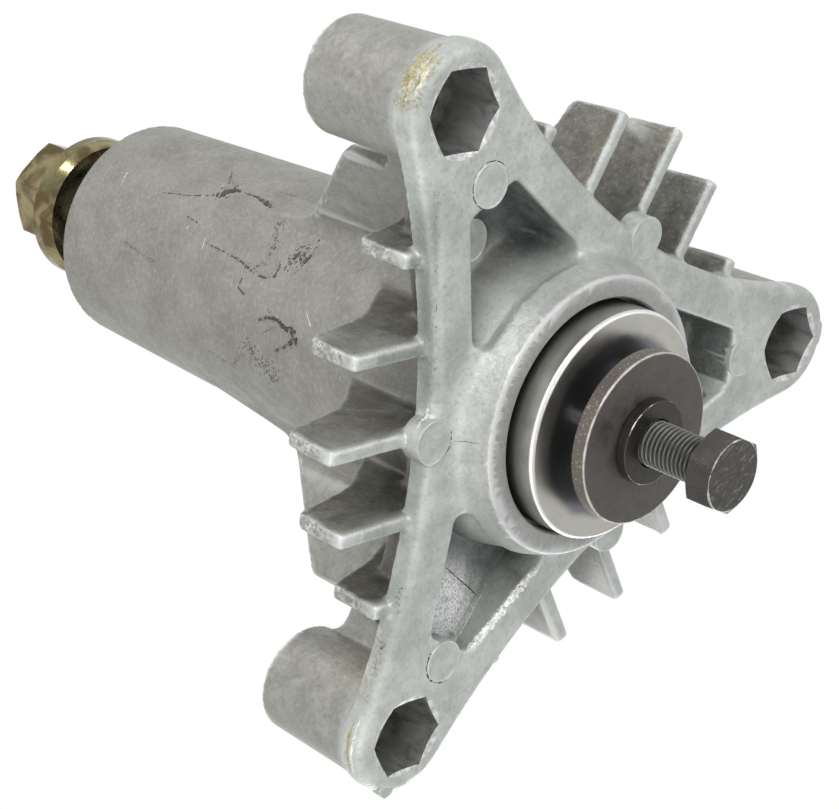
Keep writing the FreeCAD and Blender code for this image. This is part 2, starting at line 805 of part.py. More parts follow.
def bearing(side, middle):
    """One sealed ball bearing: two races, balls, cage and two seals, about a middle height."""
    bore = side + "_bore_r"
    outer = side + "_outer_r"
    half = "%s_width / 2" % side
    pitch = side + "_pitch_r"
    ball = side + "_ball_r"
    inner_land = "(%s - land_share * %s)" % (pitch, ball)
    outer_land = "(%s + land_share * %s)" % (pitch, ball)
    low = "(%s) - %s" % (middle, half)
    high = "(%s) + %s" % (middle, half)
    seal_floor = "seal_t + seal_inset"
    track = "%s + ball_clearance" % ball

    outer_race = new_body(side + "_outer_race")
    revolve(outer_race, side + "_outer_ring", [
        ("%s - race_edge" % outer, low),
        ("%s + seal_step" % outer_land, low),
        ("%s + seal_step" % outer_land, "%s + %s" % (low, seal_floor)),
        (outer_land, "%s + %s" % (low, seal_floor)),
        (outer_land, "%s - (%s)" % (high, seal_floor)),
        ("%s + seal_step" % outer_land, "%s - (%s)" % (high, seal_floor)),
        ("%s + seal_step" % outer_land, high),
        ("%s - race_edge" % outer, high),
        (outer, "%s - race_edge" % high),
        (outer, "%s + race_edge" % low),
    ])
    groove(outer_race, side + "_outer_track", pitch, middle, track)

    inner_race = new_body(side + "_inner_race")
    revolve(inner_race, side + "_inner_ring", [
        (bore, low),
        (inner_land, low),
        (inner_land, high),
        (bore, high),
    ])
    groove(inner_race, side + "_inner_track", pitch, middle, track)

    balls = []
    windows = []
    for i in range(BALL_COUNT):
        angle = 360.0 * i / BALL_COUNT
        sphere = doc.addObject("Part::Sphere", side + "_ball")
        bind(sphere, "Radius", ball)
        sphere.Placement = Placement(on_ray(angle, size(pitch), worked_out(middle)), Rotation())
        balls.append(sphere)
        window = doc.addObject("Part::Cylinder", side + "_window")
        bind(window, "Radius", "%s + cage_play" % ball)
        bind(window, "Height", "cage_half * 4")
        start = on_ray(angle, size(pitch) - 2 * size("cage_half"), worked_out(middle))
        window.Placement = Placement(start, Rotation(Vector(0, 0, 1), on_ray(angle, 1)))
        windows.append(window)
    ball_set = combine("Part::Compound", side + "_balls", balls)

    ring = new_body(side + "_cage_ring")
    revolve(ring, side + "_cage_band", [
        ("%s - cage_half" % pitch, "%s - %s - cage_rim" % (middle, ball)),
        ("%s + cage_half" % pitch, "%s - %s - cage_rim" % (middle, ball)),
        ("%s + cage_half" % pitch, "%s + %s + cage_rim" % (middle, ball)),
        ("%s - cage_half" % pitch, "%s + %s + cage_rim" % (middle, ball)),
    ])
    cage = cut_away(side + "_cage", ring, combine("Part::Compound", side + "_windows", windows))

    nodes = [outer_race, inner_race, ball_set, cage]
    for name, start in (("front", "%s + seal_inset" % low), ("back", "%s - seal_inset - seal_t" % high)):
        seal = new_body("%s_%s_seal" % (side, name))
        revolve(seal, "%s_%s_disc" % (side, name), [
            ("%s + seal_lip_gap" % inner_land, start),
            ("%s + seal_step" % outer_land, start),
            ("%s + seal_step" % outer_land, "%s + seal_t" % start),
            ("%s + seal_lip_gap" % inner_land, "%s + seal_t" % start),
        ])
        nodes.append(seal)
    return nodes


def bearing_spacer():
    """The tube that holds the two inner races apart."""
    body = new_body("bearing_spacer")
    inner = "upper_bore_r + spacer_gap"
    revolve(body, "spacer", [
        (inner, LOWER_TOP),
        ("%s + spacer_wall" % inner, LOWER_TOP),
        ("%s + spacer_wall" % inner, UPPER_BOTTOM),
        (inner, UPPER_BOTTOM),
    ])
    return body


def spindle_shaft():
    """The shaft with its blade disc and five-pointed blade star."""
    body = new_body("spindle_shaft")
    disc_back = DISC_FRONT + " + disc_t"
    base = revolve(body, "shaft", [
        ("0", DISC_FRONT),
        ("disc_r", DISC_FRONT),
        ("disc_r", disc_back),
        ("shoulder_r", disc_back),
        ("shoulder_r", LOWER_SEAT),
        ("lower_bore_r", LOWER_SEAT),
        ("lower_bore_r", LOWER_TOP),
        ("upper_bore_r", LOWER_TOP),
        ("upper_bore_r", UPPER_TOP),
        ("pulley_seat_r", UPPER_TOP),
        ("pulley_seat_r", CUP_RIM),
        ("stud_r", CUP_RIM),
        ("stud_r", STUD_END + " - stud_edge"),
        ("stud_r - stud_edge", STUD_END),
        ("0", STUD_END),
    ])
    dress(body, "disc_round", "Fillet", base, "disc_edge_r", ring_edge(("disc_r", DISC_FRONT)))

    star_sketch = new_sketch(body, "star_outline", "XY_Plane", STAR_FRONT)
    points = []
    for i in range(5):
        for reach, turn in (("star_tip_r", 72 * i), ("star_valley_r", 72 * i + 36)):
            angle = "(star_turn + %d)" % turn
            points.append(("%s * cos%s" % (reach, angle), "%s * sin%s" % (reach, angle)))
    add_outline(star_sketch, points)
    star = pad(body, "star", star_sketch, "star_height + disc_edge_r")
    dress(body, "star_tip_round", "Fillet", star, "star_tip_fillet", upright_edge("star_tip_r"))

    tap_sketch = new_sketch(body, "blade_tap_outline", "XY_Plane", STAR_FRONT)
    add_circle(tap_sketch, "0", "0", "bolt_r + tap_gap")
    pocket(body, "blade_tap", tap_sketch, "blade_tap_depth", upwards=True)
    return body


def blade_washer():
    body = new_body("blade_washer")
    base = revolve(body, "blade_washer_ring", [
        ("blade_washer_hole_r", WASHER_FRONT),
        ("blade_washer_r", WASHER_FRONT),
        ("blade_washer_r", WASHER_BACK),
        ("blade_washer_hole_r", WASHER_BACK),
    ])
    dress(body, "blade_washer_rounds", "Fillet", base, "blade_washer_edge",
          ring_edge(("blade_washer_r", WASHER_FRONT), ("blade_washer_r", WASHER_BACK)))
    return body


def lock_washer():
    """A split spring washer: thicker at its hole than at its rim, with a leaning slit."""
    body = new_body("lock_washer")
    base = revolve(body, "lock_washer_ring", [
        ("lock_washer_hole_r", LOCK_FRONT),
        ("lock_washer_r", LOCK_FRONT + " + lock_washer_slope / 2"),
        ("lock_washer_r", WASHER_FRONT + " - lock_washer_slope / 2"),
        ("lock_washer_hole_r", WASHER_FRONT),
    ])
    dress(body, "lock_washer_rounds", "Fillet", base, "lock_washer_edge", ring_edge(
        ("lock_washer_r", LOCK_FRONT + " + lock_washer_slope / 2"),
        ("lock_washer_r", WASHER_FRONT + " - lock_washer_slope / 2"),
    ))
    slit = doc.addObject("Part::Box", "washer_slit")
    bind(slit, "Length", "lock_washer_r * 2")
    bind(slit, "Width", "lock_washer_slit")
    bind(slit, "Height", "lock_washer_t * 3")
    turn = turned_by(size("lock_washer_slit_turn"))
    lean = Rotation(Vector(1, 0, 0), size("lock_washer_lean"))
    middle = Vector(0, 0, worked_out(LOCK_FRONT) + size("lock_washer_t") / 2)
    corner = Vector(0, -size("lock_washer_slit") / 2, -1.5 * size("lock_washer_t"))
    both = turn.multiply(lean)
    slit.Placement = Placement(middle + both.multVec(corner), both)
    body.Label = "lock_washer_blank"
    return cut_away("lock_washer", body, slit)


def blade_bolt():
    """Hexagon bolt, shown part unscrewed. Its thread is a plain cylinder."""
    body = new_body("blade_bolt")
    revolve(body, "bolt_shank", [
        ("0", HEAD_SEAT),
        ("bolt_r", HEAD_SEAT),
        ("bolt_r", HEAD_SEAT + " + bolt_length - bolt_end_edge"),
        ("bolt_r - bolt_end_edge", HEAD_SEAT + " + bolt_length"),
        ("0", HEAD_SEAT + " + bolt_length"),
    ])
    sketch = new_sketch(body, "head_hexagon", "XY_Plane", HEAD_FRONT)
    add_hexagon(sketch, "bolt_head_af", "bolt_head_turn")
    pad(body, "head", sketch, "bolt_head_height")
    body.Label = "blade_bolt_blank"
    cap = new_body("head_chamfer")
    revolve(cap, "head_cones", [
        ("0", HEAD_FRONT),
        ("bolt_head_af / 2", HEAD_FRONT),
        ("bolt_head_af / 2 + bolt_head_height / 2 / tan(30)", HEAD_FRONT + " + bolt_head_height / 2"),
        ("bolt_head_af / 2", HEAD_SEAT),
        ("bolt_head_af / 2", HEAD_SEAT + " + bolt_length + tool_overrun"),
        ("0", HEAD_SEAT + " + bolt_length + tool_overrun"),
    ])
    return combine("Part::MultiCommon", "blade_bolt", [body, cap])


def pulley_cup_washer():
    """A drawn cup with its open side towards the pulley."""
    body = new_body("pulley_cup_washer")
    inner_top = CUP_TOP + " - cup_wall"
    base = revolve(body, "cup", [
        ("cup_hole_r", CUP_TOP),
        ("cup_r", CUP_TOP),
        ("cup_r", CUP_RIM + " + cup_height / 2"),
        ("cup_rim_r", CUP_RIM),
        ("cup_rim_r - cup_wall", CUP_RIM),
        ("cup_r - cup_wall", CUP_RIM + " + cup_height / 2"),
        ("cup_r - cup_wall", inner_top),
        ("cup_hole_r", inner_top),
    ])
    dress(body, "cup_round", "Fillet", base, "cup_height / 3",
          ring_edge(("cup_r", CUP_RIM + " + cup_height / 2")))
    return body


def pulley_nut():
    """Hexagon nut with both ends chamfered."""
    body = new_body("pulley_nut_blank")
    sketch = new_sketch(body, "nut_hexagon", "XY_Plane", CUP_TOP)
    add_hexagon(sketch, "nut_af", "nut_turn")
    pad(body, "nut", sketch, "nut_height")
    hole = new_sketch(body, "nut_bore", "XY_Plane", CUP_TOP)
    add_circle(hole, "0", "0", "stud_r + tap_gap")
    pocket(body, "nut_hole", hole, "nut_height", upwards=True)
    form = new_body("nut_chamfer")
    rise = "nut_edge * tan(30)"
    reach = "nut_af / 2 / cos(30)"
    revolve(form, "nut_cone", [
        ("0", CUP_TOP),
        ("%s - nut_edge" % reach, CUP_TOP),
        (reach, "%s + %s" % (CUP_TOP, rise)),
        (reach, "%s - %s" % (NUT_TOP, rise)),
        ("%s - nut_edge" % reach, NUT_TOP),
        ("0", NUT_TOP),
    ])
    return combine("Part::MultiCommon", "pulley_nut", [body, form])


def build():
    """Every piece of the assembly. The housing comes last, so its slow booleans run once."""
    nodes = bearing("lower", LOWER_MID) + bearing("upper", UPPER_MID)
    nodes += [
        bearing_spacer(),
        spindle_shaft(),
        blade_washer(),
        lock_washer(),
        blade_bolt(),
        pulley_cup_washer(),
        pulley_nut(),
        housing(),
    ]
    doc.recompute()
    return nodes


def check(nodes):
    """Stop if any object failed or any piece is not a sound solid."""
    for item in doc.Objects:
        if "Invalid" in item.State or "Error" in item.State:
            raise RuntimeError("failed: %s %s" % (item.Label, item.State))
    for node in nodes:
        shape = node.Shape
        if shape.isNull() or not shape.isValid() or not shape.Solids:
            raise RuntimeError("not a sound solid: " + node.Label)


def export(nodes):
    os.makedirs("parts", exist_ok=True)
    for node in nodes:
        node.Shape.exportStep("parts/%s.step" % node.Label)
        box = node.Shape.BoundBox
        print("%-24s solids %2d  volume %10.1f  z %8.2f to %8.2f" % (
            node.Label, len(node.Shape.Solids), node.Shape.Volume, box.ZMin, box.ZMax))


pieces = build()
check(pieces)
export(pieces)
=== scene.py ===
import math
import random

import bmesh
import bpy
import numpy as np
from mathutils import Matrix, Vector, noise
from mathutils.bvhtree import BVHTree


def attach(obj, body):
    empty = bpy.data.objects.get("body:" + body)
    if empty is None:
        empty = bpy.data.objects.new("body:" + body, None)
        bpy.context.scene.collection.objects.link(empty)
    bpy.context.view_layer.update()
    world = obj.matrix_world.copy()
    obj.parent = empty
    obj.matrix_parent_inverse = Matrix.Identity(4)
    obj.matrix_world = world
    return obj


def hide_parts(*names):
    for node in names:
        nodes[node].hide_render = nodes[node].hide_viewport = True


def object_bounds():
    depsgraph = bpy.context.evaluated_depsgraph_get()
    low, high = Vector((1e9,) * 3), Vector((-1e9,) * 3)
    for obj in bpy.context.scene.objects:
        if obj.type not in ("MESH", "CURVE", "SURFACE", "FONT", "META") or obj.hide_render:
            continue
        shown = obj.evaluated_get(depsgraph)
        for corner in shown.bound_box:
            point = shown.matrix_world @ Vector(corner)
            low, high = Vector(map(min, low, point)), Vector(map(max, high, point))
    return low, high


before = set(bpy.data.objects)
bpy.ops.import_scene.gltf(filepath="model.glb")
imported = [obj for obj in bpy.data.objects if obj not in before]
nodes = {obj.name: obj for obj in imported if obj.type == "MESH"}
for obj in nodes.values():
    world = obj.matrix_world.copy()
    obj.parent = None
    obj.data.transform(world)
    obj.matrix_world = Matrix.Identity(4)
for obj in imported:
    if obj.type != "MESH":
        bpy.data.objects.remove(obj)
cad_low, cad_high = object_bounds()

MM = 0.001
# Heights along the shaft axis in millimetres, from the blade end to the pulley end
HEAD_FRONT = -73.7
HEAD_SEAT = -67.95
LOCK_RIM = -54.3
WASHER_RIM = -51.85
DISC_FRONT = -44.1
COLLAR_FRONT = -38.4
SHANK_END = -36.2
LOWER_SEAT_FRONT = -33.4
FLANGE_FRONT = -30.9
LOWER_SEAT_BACK = -19.4
UPPER_SEAT_FRONT = 89.7
TUBE_END = 103.3
# Radii and other sizes in millimetres
BORE_R = 24.3
LOWER_SEAT_R = 23.5
UPPER_SEAT_R = 20.0
CORE_R = 18.4
DISC_R = 23.5
NECK_R = 27.5
BOLT_R = 4.7
HEAD_FLATS = 14.29
THREAD_PITCH = 1.058
BOLT_CIRCLE_R = 73.0
BOLT_HOLE_R = 5.15
SOCKET_FLATS = 15.3
SOCKET_DEPTH = 12.0
MARK_R = 4.3
FAR = 1e9
# A corner pocket in plan: how far out its two ends lie, and half its width there
POCKET_TIP_AT = 53.0
POCKET_TIP_HALF = 6.6
POCKET_BASE_AT = 27.3
POCKET_BASE_HALF = 16.7
POCKET_LIP = 1.2
# Directions from the axis in degrees: the bolts, the lowest of them in the photograph, and the sides between
CORNERS = (90.0, 210.0, 330.0)
LOWEST = CORNERS[2]
SIDES = (150.0, 270.0, 30.0)
# Where a corner of the blade bolt's head points
HEAD_TURN = 55.0
# The casting's material slots after the first, which is its outer skin
SOCKET_SLOT = 1
MOUTH_SLOT = 2


def on_ray(degrees, reach, height=0.0):
    """The point at a distance from the shaft axis in one direction."""
    turn = math.radians(degrees)
    return reach * math.cos(turn), reach * math.sin(turn), height


def beside(centre, degrees, reach, height):
    """The point at a distance from a centre in one direction."""
    x, y, _ = on_ray(degrees, reach)
    return centre[0] + x, centre[1] + y, height


def arc(centre, reach, first, last, height, steps=8):
    """Points round a centre, between two directions."""
    return [beside(centre, first + (last - first) * i / steps, reach, height) for i in range(steps + 1)]


BOLTS = [on_ray(corner, BOLT_CIRCLE_R) for corner in CORNERS]
# Round ejector pin marks: where they are and how high their faces stand
CORNER_MARKS = [on_ray(corner, 56.3, FLANGE_FRONT - 0.22) for corner in CORNERS]
SIDE_MARKS = [on_ray(side, 36.9, FLANGE_FRONT - 0.3) for side in SIDES]
FLOOR_MARKS = [on_ray(corner, 38.8, -19.1) for corner in CORNERS if corner != LOWEST]

# Smears and scratches on the neck: rows of (angle in degrees, height, half width)
TAR = [
    [(83, 62.5, 0.3), (85.5, 60, 0.9), (90, 58.5, 0.9), (91.5, 56, 0.3)],
    [(91, 54.8, 0.15), (90.5, 50, 0.3), (88.5, 46, 0.65), (86.5, 43, 0.35)],
    [(41, 28.8, 0.4), (41.6, 25.9, 0.4), (39.5, 22.5, 0.7), (40, 20.3, 1.0), (36.5, 19.6, 0.9),
     (33.4, 21.3, 0.45)],
    [(72.5, 27.6, 0.3), (67.5, 28.2, 0.4)],
    [(72.6, 26.0, 0.4), (67.2, 26.6, 0.5)],
    [(72.0, 24.3, 0.35), (67.8, 24.9, 0.4)],
]
FINE_LINES = [
    [(75, 78, 0.1), (79, 68, 0.12), (83, 62.5, 0.3)],
    [(101, 64.4, 0.15), (92.5, 61, 0.3)],
    [(69, 64.6, 0.15), (67, 59, 0.15)],
    [(60.5, 55, 0.12), (60, 47.7, 0.2), (59, 42.6, 0.25), (56.3, 37, 0.3), (56, 33.6, 0.3),
     (58.6, 30.7, 0.3), (64.4, 30.8, 0.25), (66.2, 32.7, 0.2)],
    [(58.3, 37.6, 0.2), (61.7, 36, 0.25), (62, 34, 0.2)],
    [(53.3, 39.8, 0.2), (47.5, 40.1, 0.18), (45.7, 37, 0.28)],
    [(38, 31.7, 0.3), (41, 28.8, 0.4)],
    [(33.4, 21.3, 0.4), (27.3, 25.9, 0.3)],
    [(38.4, 26, 0.1), (32.5, 30.5, 0.1)],
    [(74, 34.9, 0.1), (72, 35.3, 0.1)],
    [(70.5, 34.8, 0.12), (68.5, 35.3, 0.12)],
    [(67.5, 34.8, 0.12), (65.5, 35.3, 0.12)],
]
SOOT = [
    [(86, 37, 0.3), (81, 38.7, 0.4), (73.6, 36, 0.35), (68.7, 35.3, 0.3)],
    [(26.8, 35, 0.7), (22, 33.7, 0.9), (19.5, 29.8, 0.8), (15.5, 28, 1.0), (14, 24.5, 0.8)],
    [(11.4, 49.4, 0.15), (9, 41.3, 0.15), (20, 36, 0.15)],
    [(46, 81, 0.15), (43, 72, 0.15), (43, 68.6, 0.15)],
    [(71.5, 29.5, 1.1), (69.5, 24.5, 1.3)],
    [(96, 47, 0.2), (98, 41, 0.3)],
]
SCRATCHES = [
    [(79, 91, 0.15), (70.7, 90, 0.12)],
    [(62.4, 55.8, 0.12), (56, 54.8, 0.15)],
    [(50, 18.2, 0.12), (44.4, 15.5, 0.15)],
    [(66, 62, 0.1), (62, 63, 0.12)],
]
# Hairline cracks and seams elsewhere on the casting: rows of (x, y, z, half width)
CRACKS = [
    [(35.5, -17.2, -23.9, 0.10), (34.2, -21.4, -24.1, 0.14), (32.6, -25.8, -24.3, 0.16),
     (31.4, -29.6, -25.0, 0.1)],
    [(27.8, 15.4, -31.6, 0.05), (26.5, 15.0, -33.8, 0.06), (25.7, 14.7, -36.2, 0.04)],
]
SEAMS = [
    [(11.3, 63.8, -30.9, 0.06), (15.1, 55.1, -30.7, 0.07), (19.5, 43.9, -30.2, 0.07),
     (24.1, 32.7, -30.0, 0.07), (30.6, 24.0, -29.9, 0.06)],
]


# Node trees

class Tree:
    """A node tree and short ways to add nodes to it."""

    def __init__(self, tree):
        self.tree = tree

    def add(self, kind, inputs, **settings):
        """A new node's outputs. Its inputs are given by name or number."""
        node = self.tree.nodes.new(kind)
        for key, value in settings.items():
            setattr(node, key, value)
        for key, value in inputs.items():
            self.feed(node.inputs[key], value)
        return node.outputs

    def feed(self, socket, value):
        """Link a value into a socket if it is an output, or else set it."""
        if isinstance(value, bpy.types.NodeSocket):
            self.tree.links.new(value, socket)
        elif value is not None:
            if socket.type == "RGBA" and len(value) == 3:
                value = (*value, 1.0)
            socket.default_value = value

    def maths(self, operation, a, b=None):
        return self.add("ShaderNodeMath", {0: a, 1: b}, operation=operation)[0]

    def show_white(self, output, shader, white):
        """Show one shader to the camera and in reflections, and light the part by the other."""
        path = self.add("ShaderNodeLightPath", {})
        seen = path["Is Camera Ray"]
        for ray in ("Is Glossy Ray", "Is Transmission Ray"):
            seen = self.maths("MAXIMUM", seen, path[ray])
        self.feed(output, self.add("ShaderNodeMixShader", {0: seen, 1: shader, 2: white})[0])


class Look(Tree):
    """A material. Places in it are in millimetres."""

    def __init__(self, name, metallic=0.0, roughness=0.5):
        self.material = bpy.data.materials.new(name)
        self.material.use_nodes = True
        super().__init__(self.material.node_tree)
        self.shader = self.tree.nodes["Principled BSDF"]
        self.shader.inputs["Metallic"].default_value = metallic
        self.shader.inputs["Roughness"].default_value = roughness
        self.place = self.scaled(self.add("ShaderNodeTexCoord", {})["Object"], (1 / MM, 1 / MM, 1 / MM))

    def scaled(self, vector, factors):
        return self.add("ShaderNodeVectorMath", {0: vector, 1: factors}, operation="MULTIPLY")[0]

    def times(self, a, b):
        return self.maths("MULTIPLY", a, b)

    def plus(self, a, b):
        return self.maths("ADD", a, b)

    def length(self, a, b):
        """The length of a line that goes a one way and b across it."""
        return self.maths("SQRT", self.plus(self.times(a, a), self.times(b, b)))

    def joined(self, x, y):
        return self.add("ShaderNodeCombineXYZ", {0: x, 1: y})[0]

    def ramped(self, value, low, high, out_low=0.0, out_high=1.0):
        """A smooth step from out_low to out_high as value goes from low to high."""
        return self.add("ShaderNodeMapRange", {0: value, 1: low, 2: high, 3: out_low, 4: out_high},
                        interpolation_type="SMOOTHSTEP")[0]

    def noise(self, grain, detail=3.0, rough=0.55, vector=None, distortion=0.0):
        """Noise between 0 and 1 whose blotches are about grain millimetres wide."""
        return self.add("ShaderNodeTexNoise", {
            "Vector": self.place if vector is None else vector, "Scale": 1.0 / grain,
            "Detail": detail, "Roughness": rough, "Distortion": distortion})[0]

    def spread(self, pattern, low, high):
        """A value that a noise spreads between two."""
        return self.ramped(pattern, 0.3, 0.7, low, high)

    def mixed(self, share, a, b):
        return self.add("ShaderNodeMix", {0: share, 6: a, 7: b}, data_type="RGBA")[2]

    def mottled(self, pattern, dark, light, low=0.3, high=0.7):
        """Two tones in blotches of a noise."""
        return self.mixed(self.ramped(pattern, low, high), dark, light)

    def tinted(self, colour, tone, most, share):
        """The colour, turned towards a tone by share, and by no more than most."""
        return self.mixed(self.times(share, most), colour, tone)

    def round_coords(self):
        """Radius, angle in radians and height about the shaft axis."""
        x, y, z = self.add("ShaderNodeSeparateXYZ", {0: self.place})
        return self.length(x, y), self.maths("ARCTAN2", y, x), z

    def attribute(self, name):
        return self.add("ShaderNodeAttribute", {}, attribute_name=name)["Fac"]

    def bump(self, height, millimetres, strength=1.0):
        inputs = {"Strength": strength, "Distance": millimetres * MM, "Height": height}
        return self.add("ShaderNodeBump", inputs)[0]

    def finish(self, colour, roughness, normal):
        """Link what is given to the shader. A roughness of None keeps the plain one."""
        for name, value in (("Base Color", colour), ("Roughness", roughness), ("Normal", normal)):
            self.feed(self.shader.inputs[name], value)
        return self.material


def grey(level, warm=0.0):
    """A near-neutral colour; warm above 0 turns it towards brown and below 0 towards blue."""
    return (level * (1 + 0.25 * warm), level, level * (1 - 1.3 * warm))


def dimmed(tone, share):
    return tuple(c * share for c in tone)


def casting_look():
    """Die-cast skin: a pale front, a smeared warm grey neck, dark fin flanks and mottled fin ends, with
    painted shade in the pockets, dirt and painted shade in the hollows and on the flanks, and painted
    highlights on edges, fin fronts, fin lips, pocket faces and a pocket floor.
    """
    look = Look("casting", metallic=0.3)
    _, angle, z = look.round_coords()
    blotch = look.noise(9.0, 4.0, 0.6)
    cloud = look.noise(3.5, 4.0, 0.65, distortion=0.5)
    fine = look.noise(0.9, 4.0, 0.65)
    speck = look.noise(0.35, 2.0, 0.6)
    unrolled = look.joined(look.times(angle, NECK_R), z)
    brushed = look.noise(1.0, 3.0, 0.6, look.scaled(unrolled, (0.45, 2.2, 1.0)))
    rough_end = look.attribute("rough")

    front = look.mottled(blotch, (0.41, 0.432, 0.40), (0.58, 0.60, 0.56))
    front = look.tinted(front, (0.335, 0.37, 0.345), 0.45, look.ramped(cloud, 0.42, 0.7))
    neck = look.mottled(blotch, grey(0.215, 0.10), grey(0.285, 0.09))
    neck = look.tinted(neck, grey(0.37, 0.06), 0.35, look.ramped(brushed, 0.45, 0.75))
    # Fin flanks: dirt, and painted shade
    flank = look.mottled(cloud, grey(0.095, 0.14), grey(0.18, 0.10))
    flank = look.tinted(flank, (0.21, 0.19, 0.12), 0.5, look.ramped(blotch, 0.5, 0.72))
    # Pockets: painted shade
    pocket = look.mottled(cloud, (0.12, 0.13, 0.125), (0.21, 0.222, 0.213))
    # A painted highlight for the lowest pocket's floor
    shine_highlight = look.mottled(look.noise(0.45, 2.0, 0.6), grey(0.50, 0.03), grey(0.95), 0.40, 0.56)
    ends = look.mottled(fine, grey(0.22, 0.08), grey(0.66, 0.02), 0.35, 0.65)

    colour = look.mottled(cloud, grey(0.245, 0.08), grey(0.335, 0.07))
    # The pocket zone is painted shade, the brown zone painted shade on the web's tip, and the flank zone
    # dirt and painted shade
    zones = {"front": front, "neck": neck, "flank": flank, "pocket": pocket, "painted_shine": shine_highlight,
             "brown": grey(0.10, 0.25), "collar": grey(0.33, 0.03), "bevel_shade": (0.235, 0.25, 0.238)}
    for zone, tone in zones.items():
        colour = look.mixed(look.attribute(zone), colour, tone)
    # Painted highlight on fin fronts, fin lips and lit pocket faces
    colour = look.tinted(colour, (0.82, 0.84, 0.80), 0.6, look.attribute("bright"))
    colour = look.tinted(colour, ends, look.ramped(cloud, 0.35, 0.6), rough_end)
    colour = look.tinted(colour, grey(0.62), 0.22, look.ramped(fine, 0.5, 0.75))
    colour = look.tinted(colour, grey(0.10, 0.1), 0.25, look.ramped(fine, 0.5, 0.28))

    # Hollows darkened: dirt, and painted shade
    dirt_and_shade_in_hollows = look.mixed(look.attribute("sand"), grey(0.07, 0.15), (0.26, 0.22, 0.10))
    colour = look.tinted(colour, dirt_and_shade_in_hollows, 0.6, look.ramped(look.attribute("hollow"), 0.08, 0.6))
    grit = look.mixed(fine, (0.10, 0.085, 0.04), (0.50, 0.45, 0.28))
    grains = look.ramped(look.noise(0.6, 3.0, 0.7), 0.42, 0.6)
    colour = look.tinted(colour, grit, grains, look.attribute("sand"))
    # Painted highlight on edges that stand out
    colour = look.tinted(colour, grey(0.78), 0.5, look.ramped(look.attribute("edge"), 0.15, 0.8))

    rough = look.plus(look.spread(cloud, 0.34, 0.50), look.times(look.attribute("neck"), 0.06))
    height = look.plus(look.times(fine, 0.7), look.times(speck, 0.3))
    height = look.plus(height, look.times(cloud, 0.8))
    height = look.plus(height, look.times(rough_end, look.times(fine, 1.5)))
    return look.finish(colour, rough, look.bump(height, 0.22, 0.6))


def pad_look():
    """The flat faces that the die's ejector pins left, with a thin bright flash round them."""
    look = Look("pin_pad", metallic=0.3)
    cloud = look.noise(2.5, 4.0, 0.65)
    fine = look.noise(0.6, 3.0, 0.6)
    colour = look.mottled(cloud, (0.42, 0.445, 0.415), (0.56, 0.575, 0.54))
    colour = look.tinted(colour, grey(0.72), 0.35, look.ramped(look.attribute("lip"), 0.3, 0.9))
    colour = look.tinted(colour, grey(0.2, 0.1), 0.3, look.ramped(fine, 0.55, 0.75))
    return look.finish(colour, look.spread(cloud, 0.36, 0.5), look.bump(fine, 0.06, 0.6))


def socket_look():
    """Cored walls of the sockets and bolt holes: darker, smoother and streaked along the axis."""
    look = Look("socket", metallic=0.5)
    streaks = look.noise(3.2, 3.0, 0.55, look.scaled(look.place, (1.0, 1.0, 0.5)), distortion=0.5)
    fine = look.noise(0.7, 3.0, 0.65)
    colour = look.mottled(streaks, grey(0.20, 0.06), grey(0.38, 0.02), 0.32, 0.68)
    colour = look.tinted(colour, grey(0.5), 0.3, look.ramped(fine, 0.6, 0.72))
    return look.finish(colour, look.spread(streaks, 0.24, 0.42), look.bump(streaks, 0.2, 0.7))


def mouth_look():
    """The lead-in round a socket, brighter than the walls: partly its own metal, partly a painted highlight.
    """
    look = Look("socket_mouth", metallic=0.45, roughness=0.28)
    fine = look.noise(1.2, 3.0, 0.6)
    colour = look.mottled(fine, grey(0.42, 0.02), grey(0.72), 0.35, 0.65)
    return look.finish(colour, None, look.bump(fine, 0.08, 0.6))


def flash_look(name, tone, metallic=0.4):
    """Torn bright flash metal, or with no metal in it, dirt."""
    look = Look(name, metallic=metallic, roughness=0.35)
    fine = look.noise(0.5, 3.0, 0.7)
    colour = look.mottled(fine, dimmed(tone, 0.45), tone, 0.34, 0.5)
    return look.finish(colour, None, look.bump(fine, 0.12, 0.8))


def disc_painted_light(look, colour, blotch, radius, angle, z):
    """Painted light on the blade disc: its side band painted dark and lightening towards the front, a
    painted highlight along its front rim, and a painted shadow and reflection of the washer beside it.
    """
    streaks = look.noise(4.0, 2.0, 0.5, look.joined(look.times(angle, DISC_R), z))
    # Side band: painted shade, darkest at the back, with streaks
    band = look.mixed(look.ramped(z, DISC_FRONT + 5.5, DISC_FRONT + 1.0), grey(0.19, 0.05), grey(0.42, 0.05))
    band = look.tinted(band, grey(0.16, 0.08), 0.3, look.ramped(streaks, 0.5, 0.75))
    colour = look.mixed(look.ramped(radius, DISC_R - 0.5, DISC_R), colour, band)
    # Front rim: a painted highlight
    at_front = look.ramped(z, DISC_FRONT + 0.9, DISC_FRONT + 0.5)
    rim = look.times(look.ramped(radius, DISC_R - 0.8, DISC_R - 0.3), at_front)
    colour = look.tinted(colour, grey(0.80, 0.02), 0.85, rim)
    # Beside the washer: a painted shadow and reflection of the washer
    washer_painted_shadow = look.ramped(look.plus(radius, look.times(blotch, 2.0)), 20.8, 18.6)
    return look.tinted(colour, (0.10, 0.11, 0.13), 0.75, washer_painted_shadow)


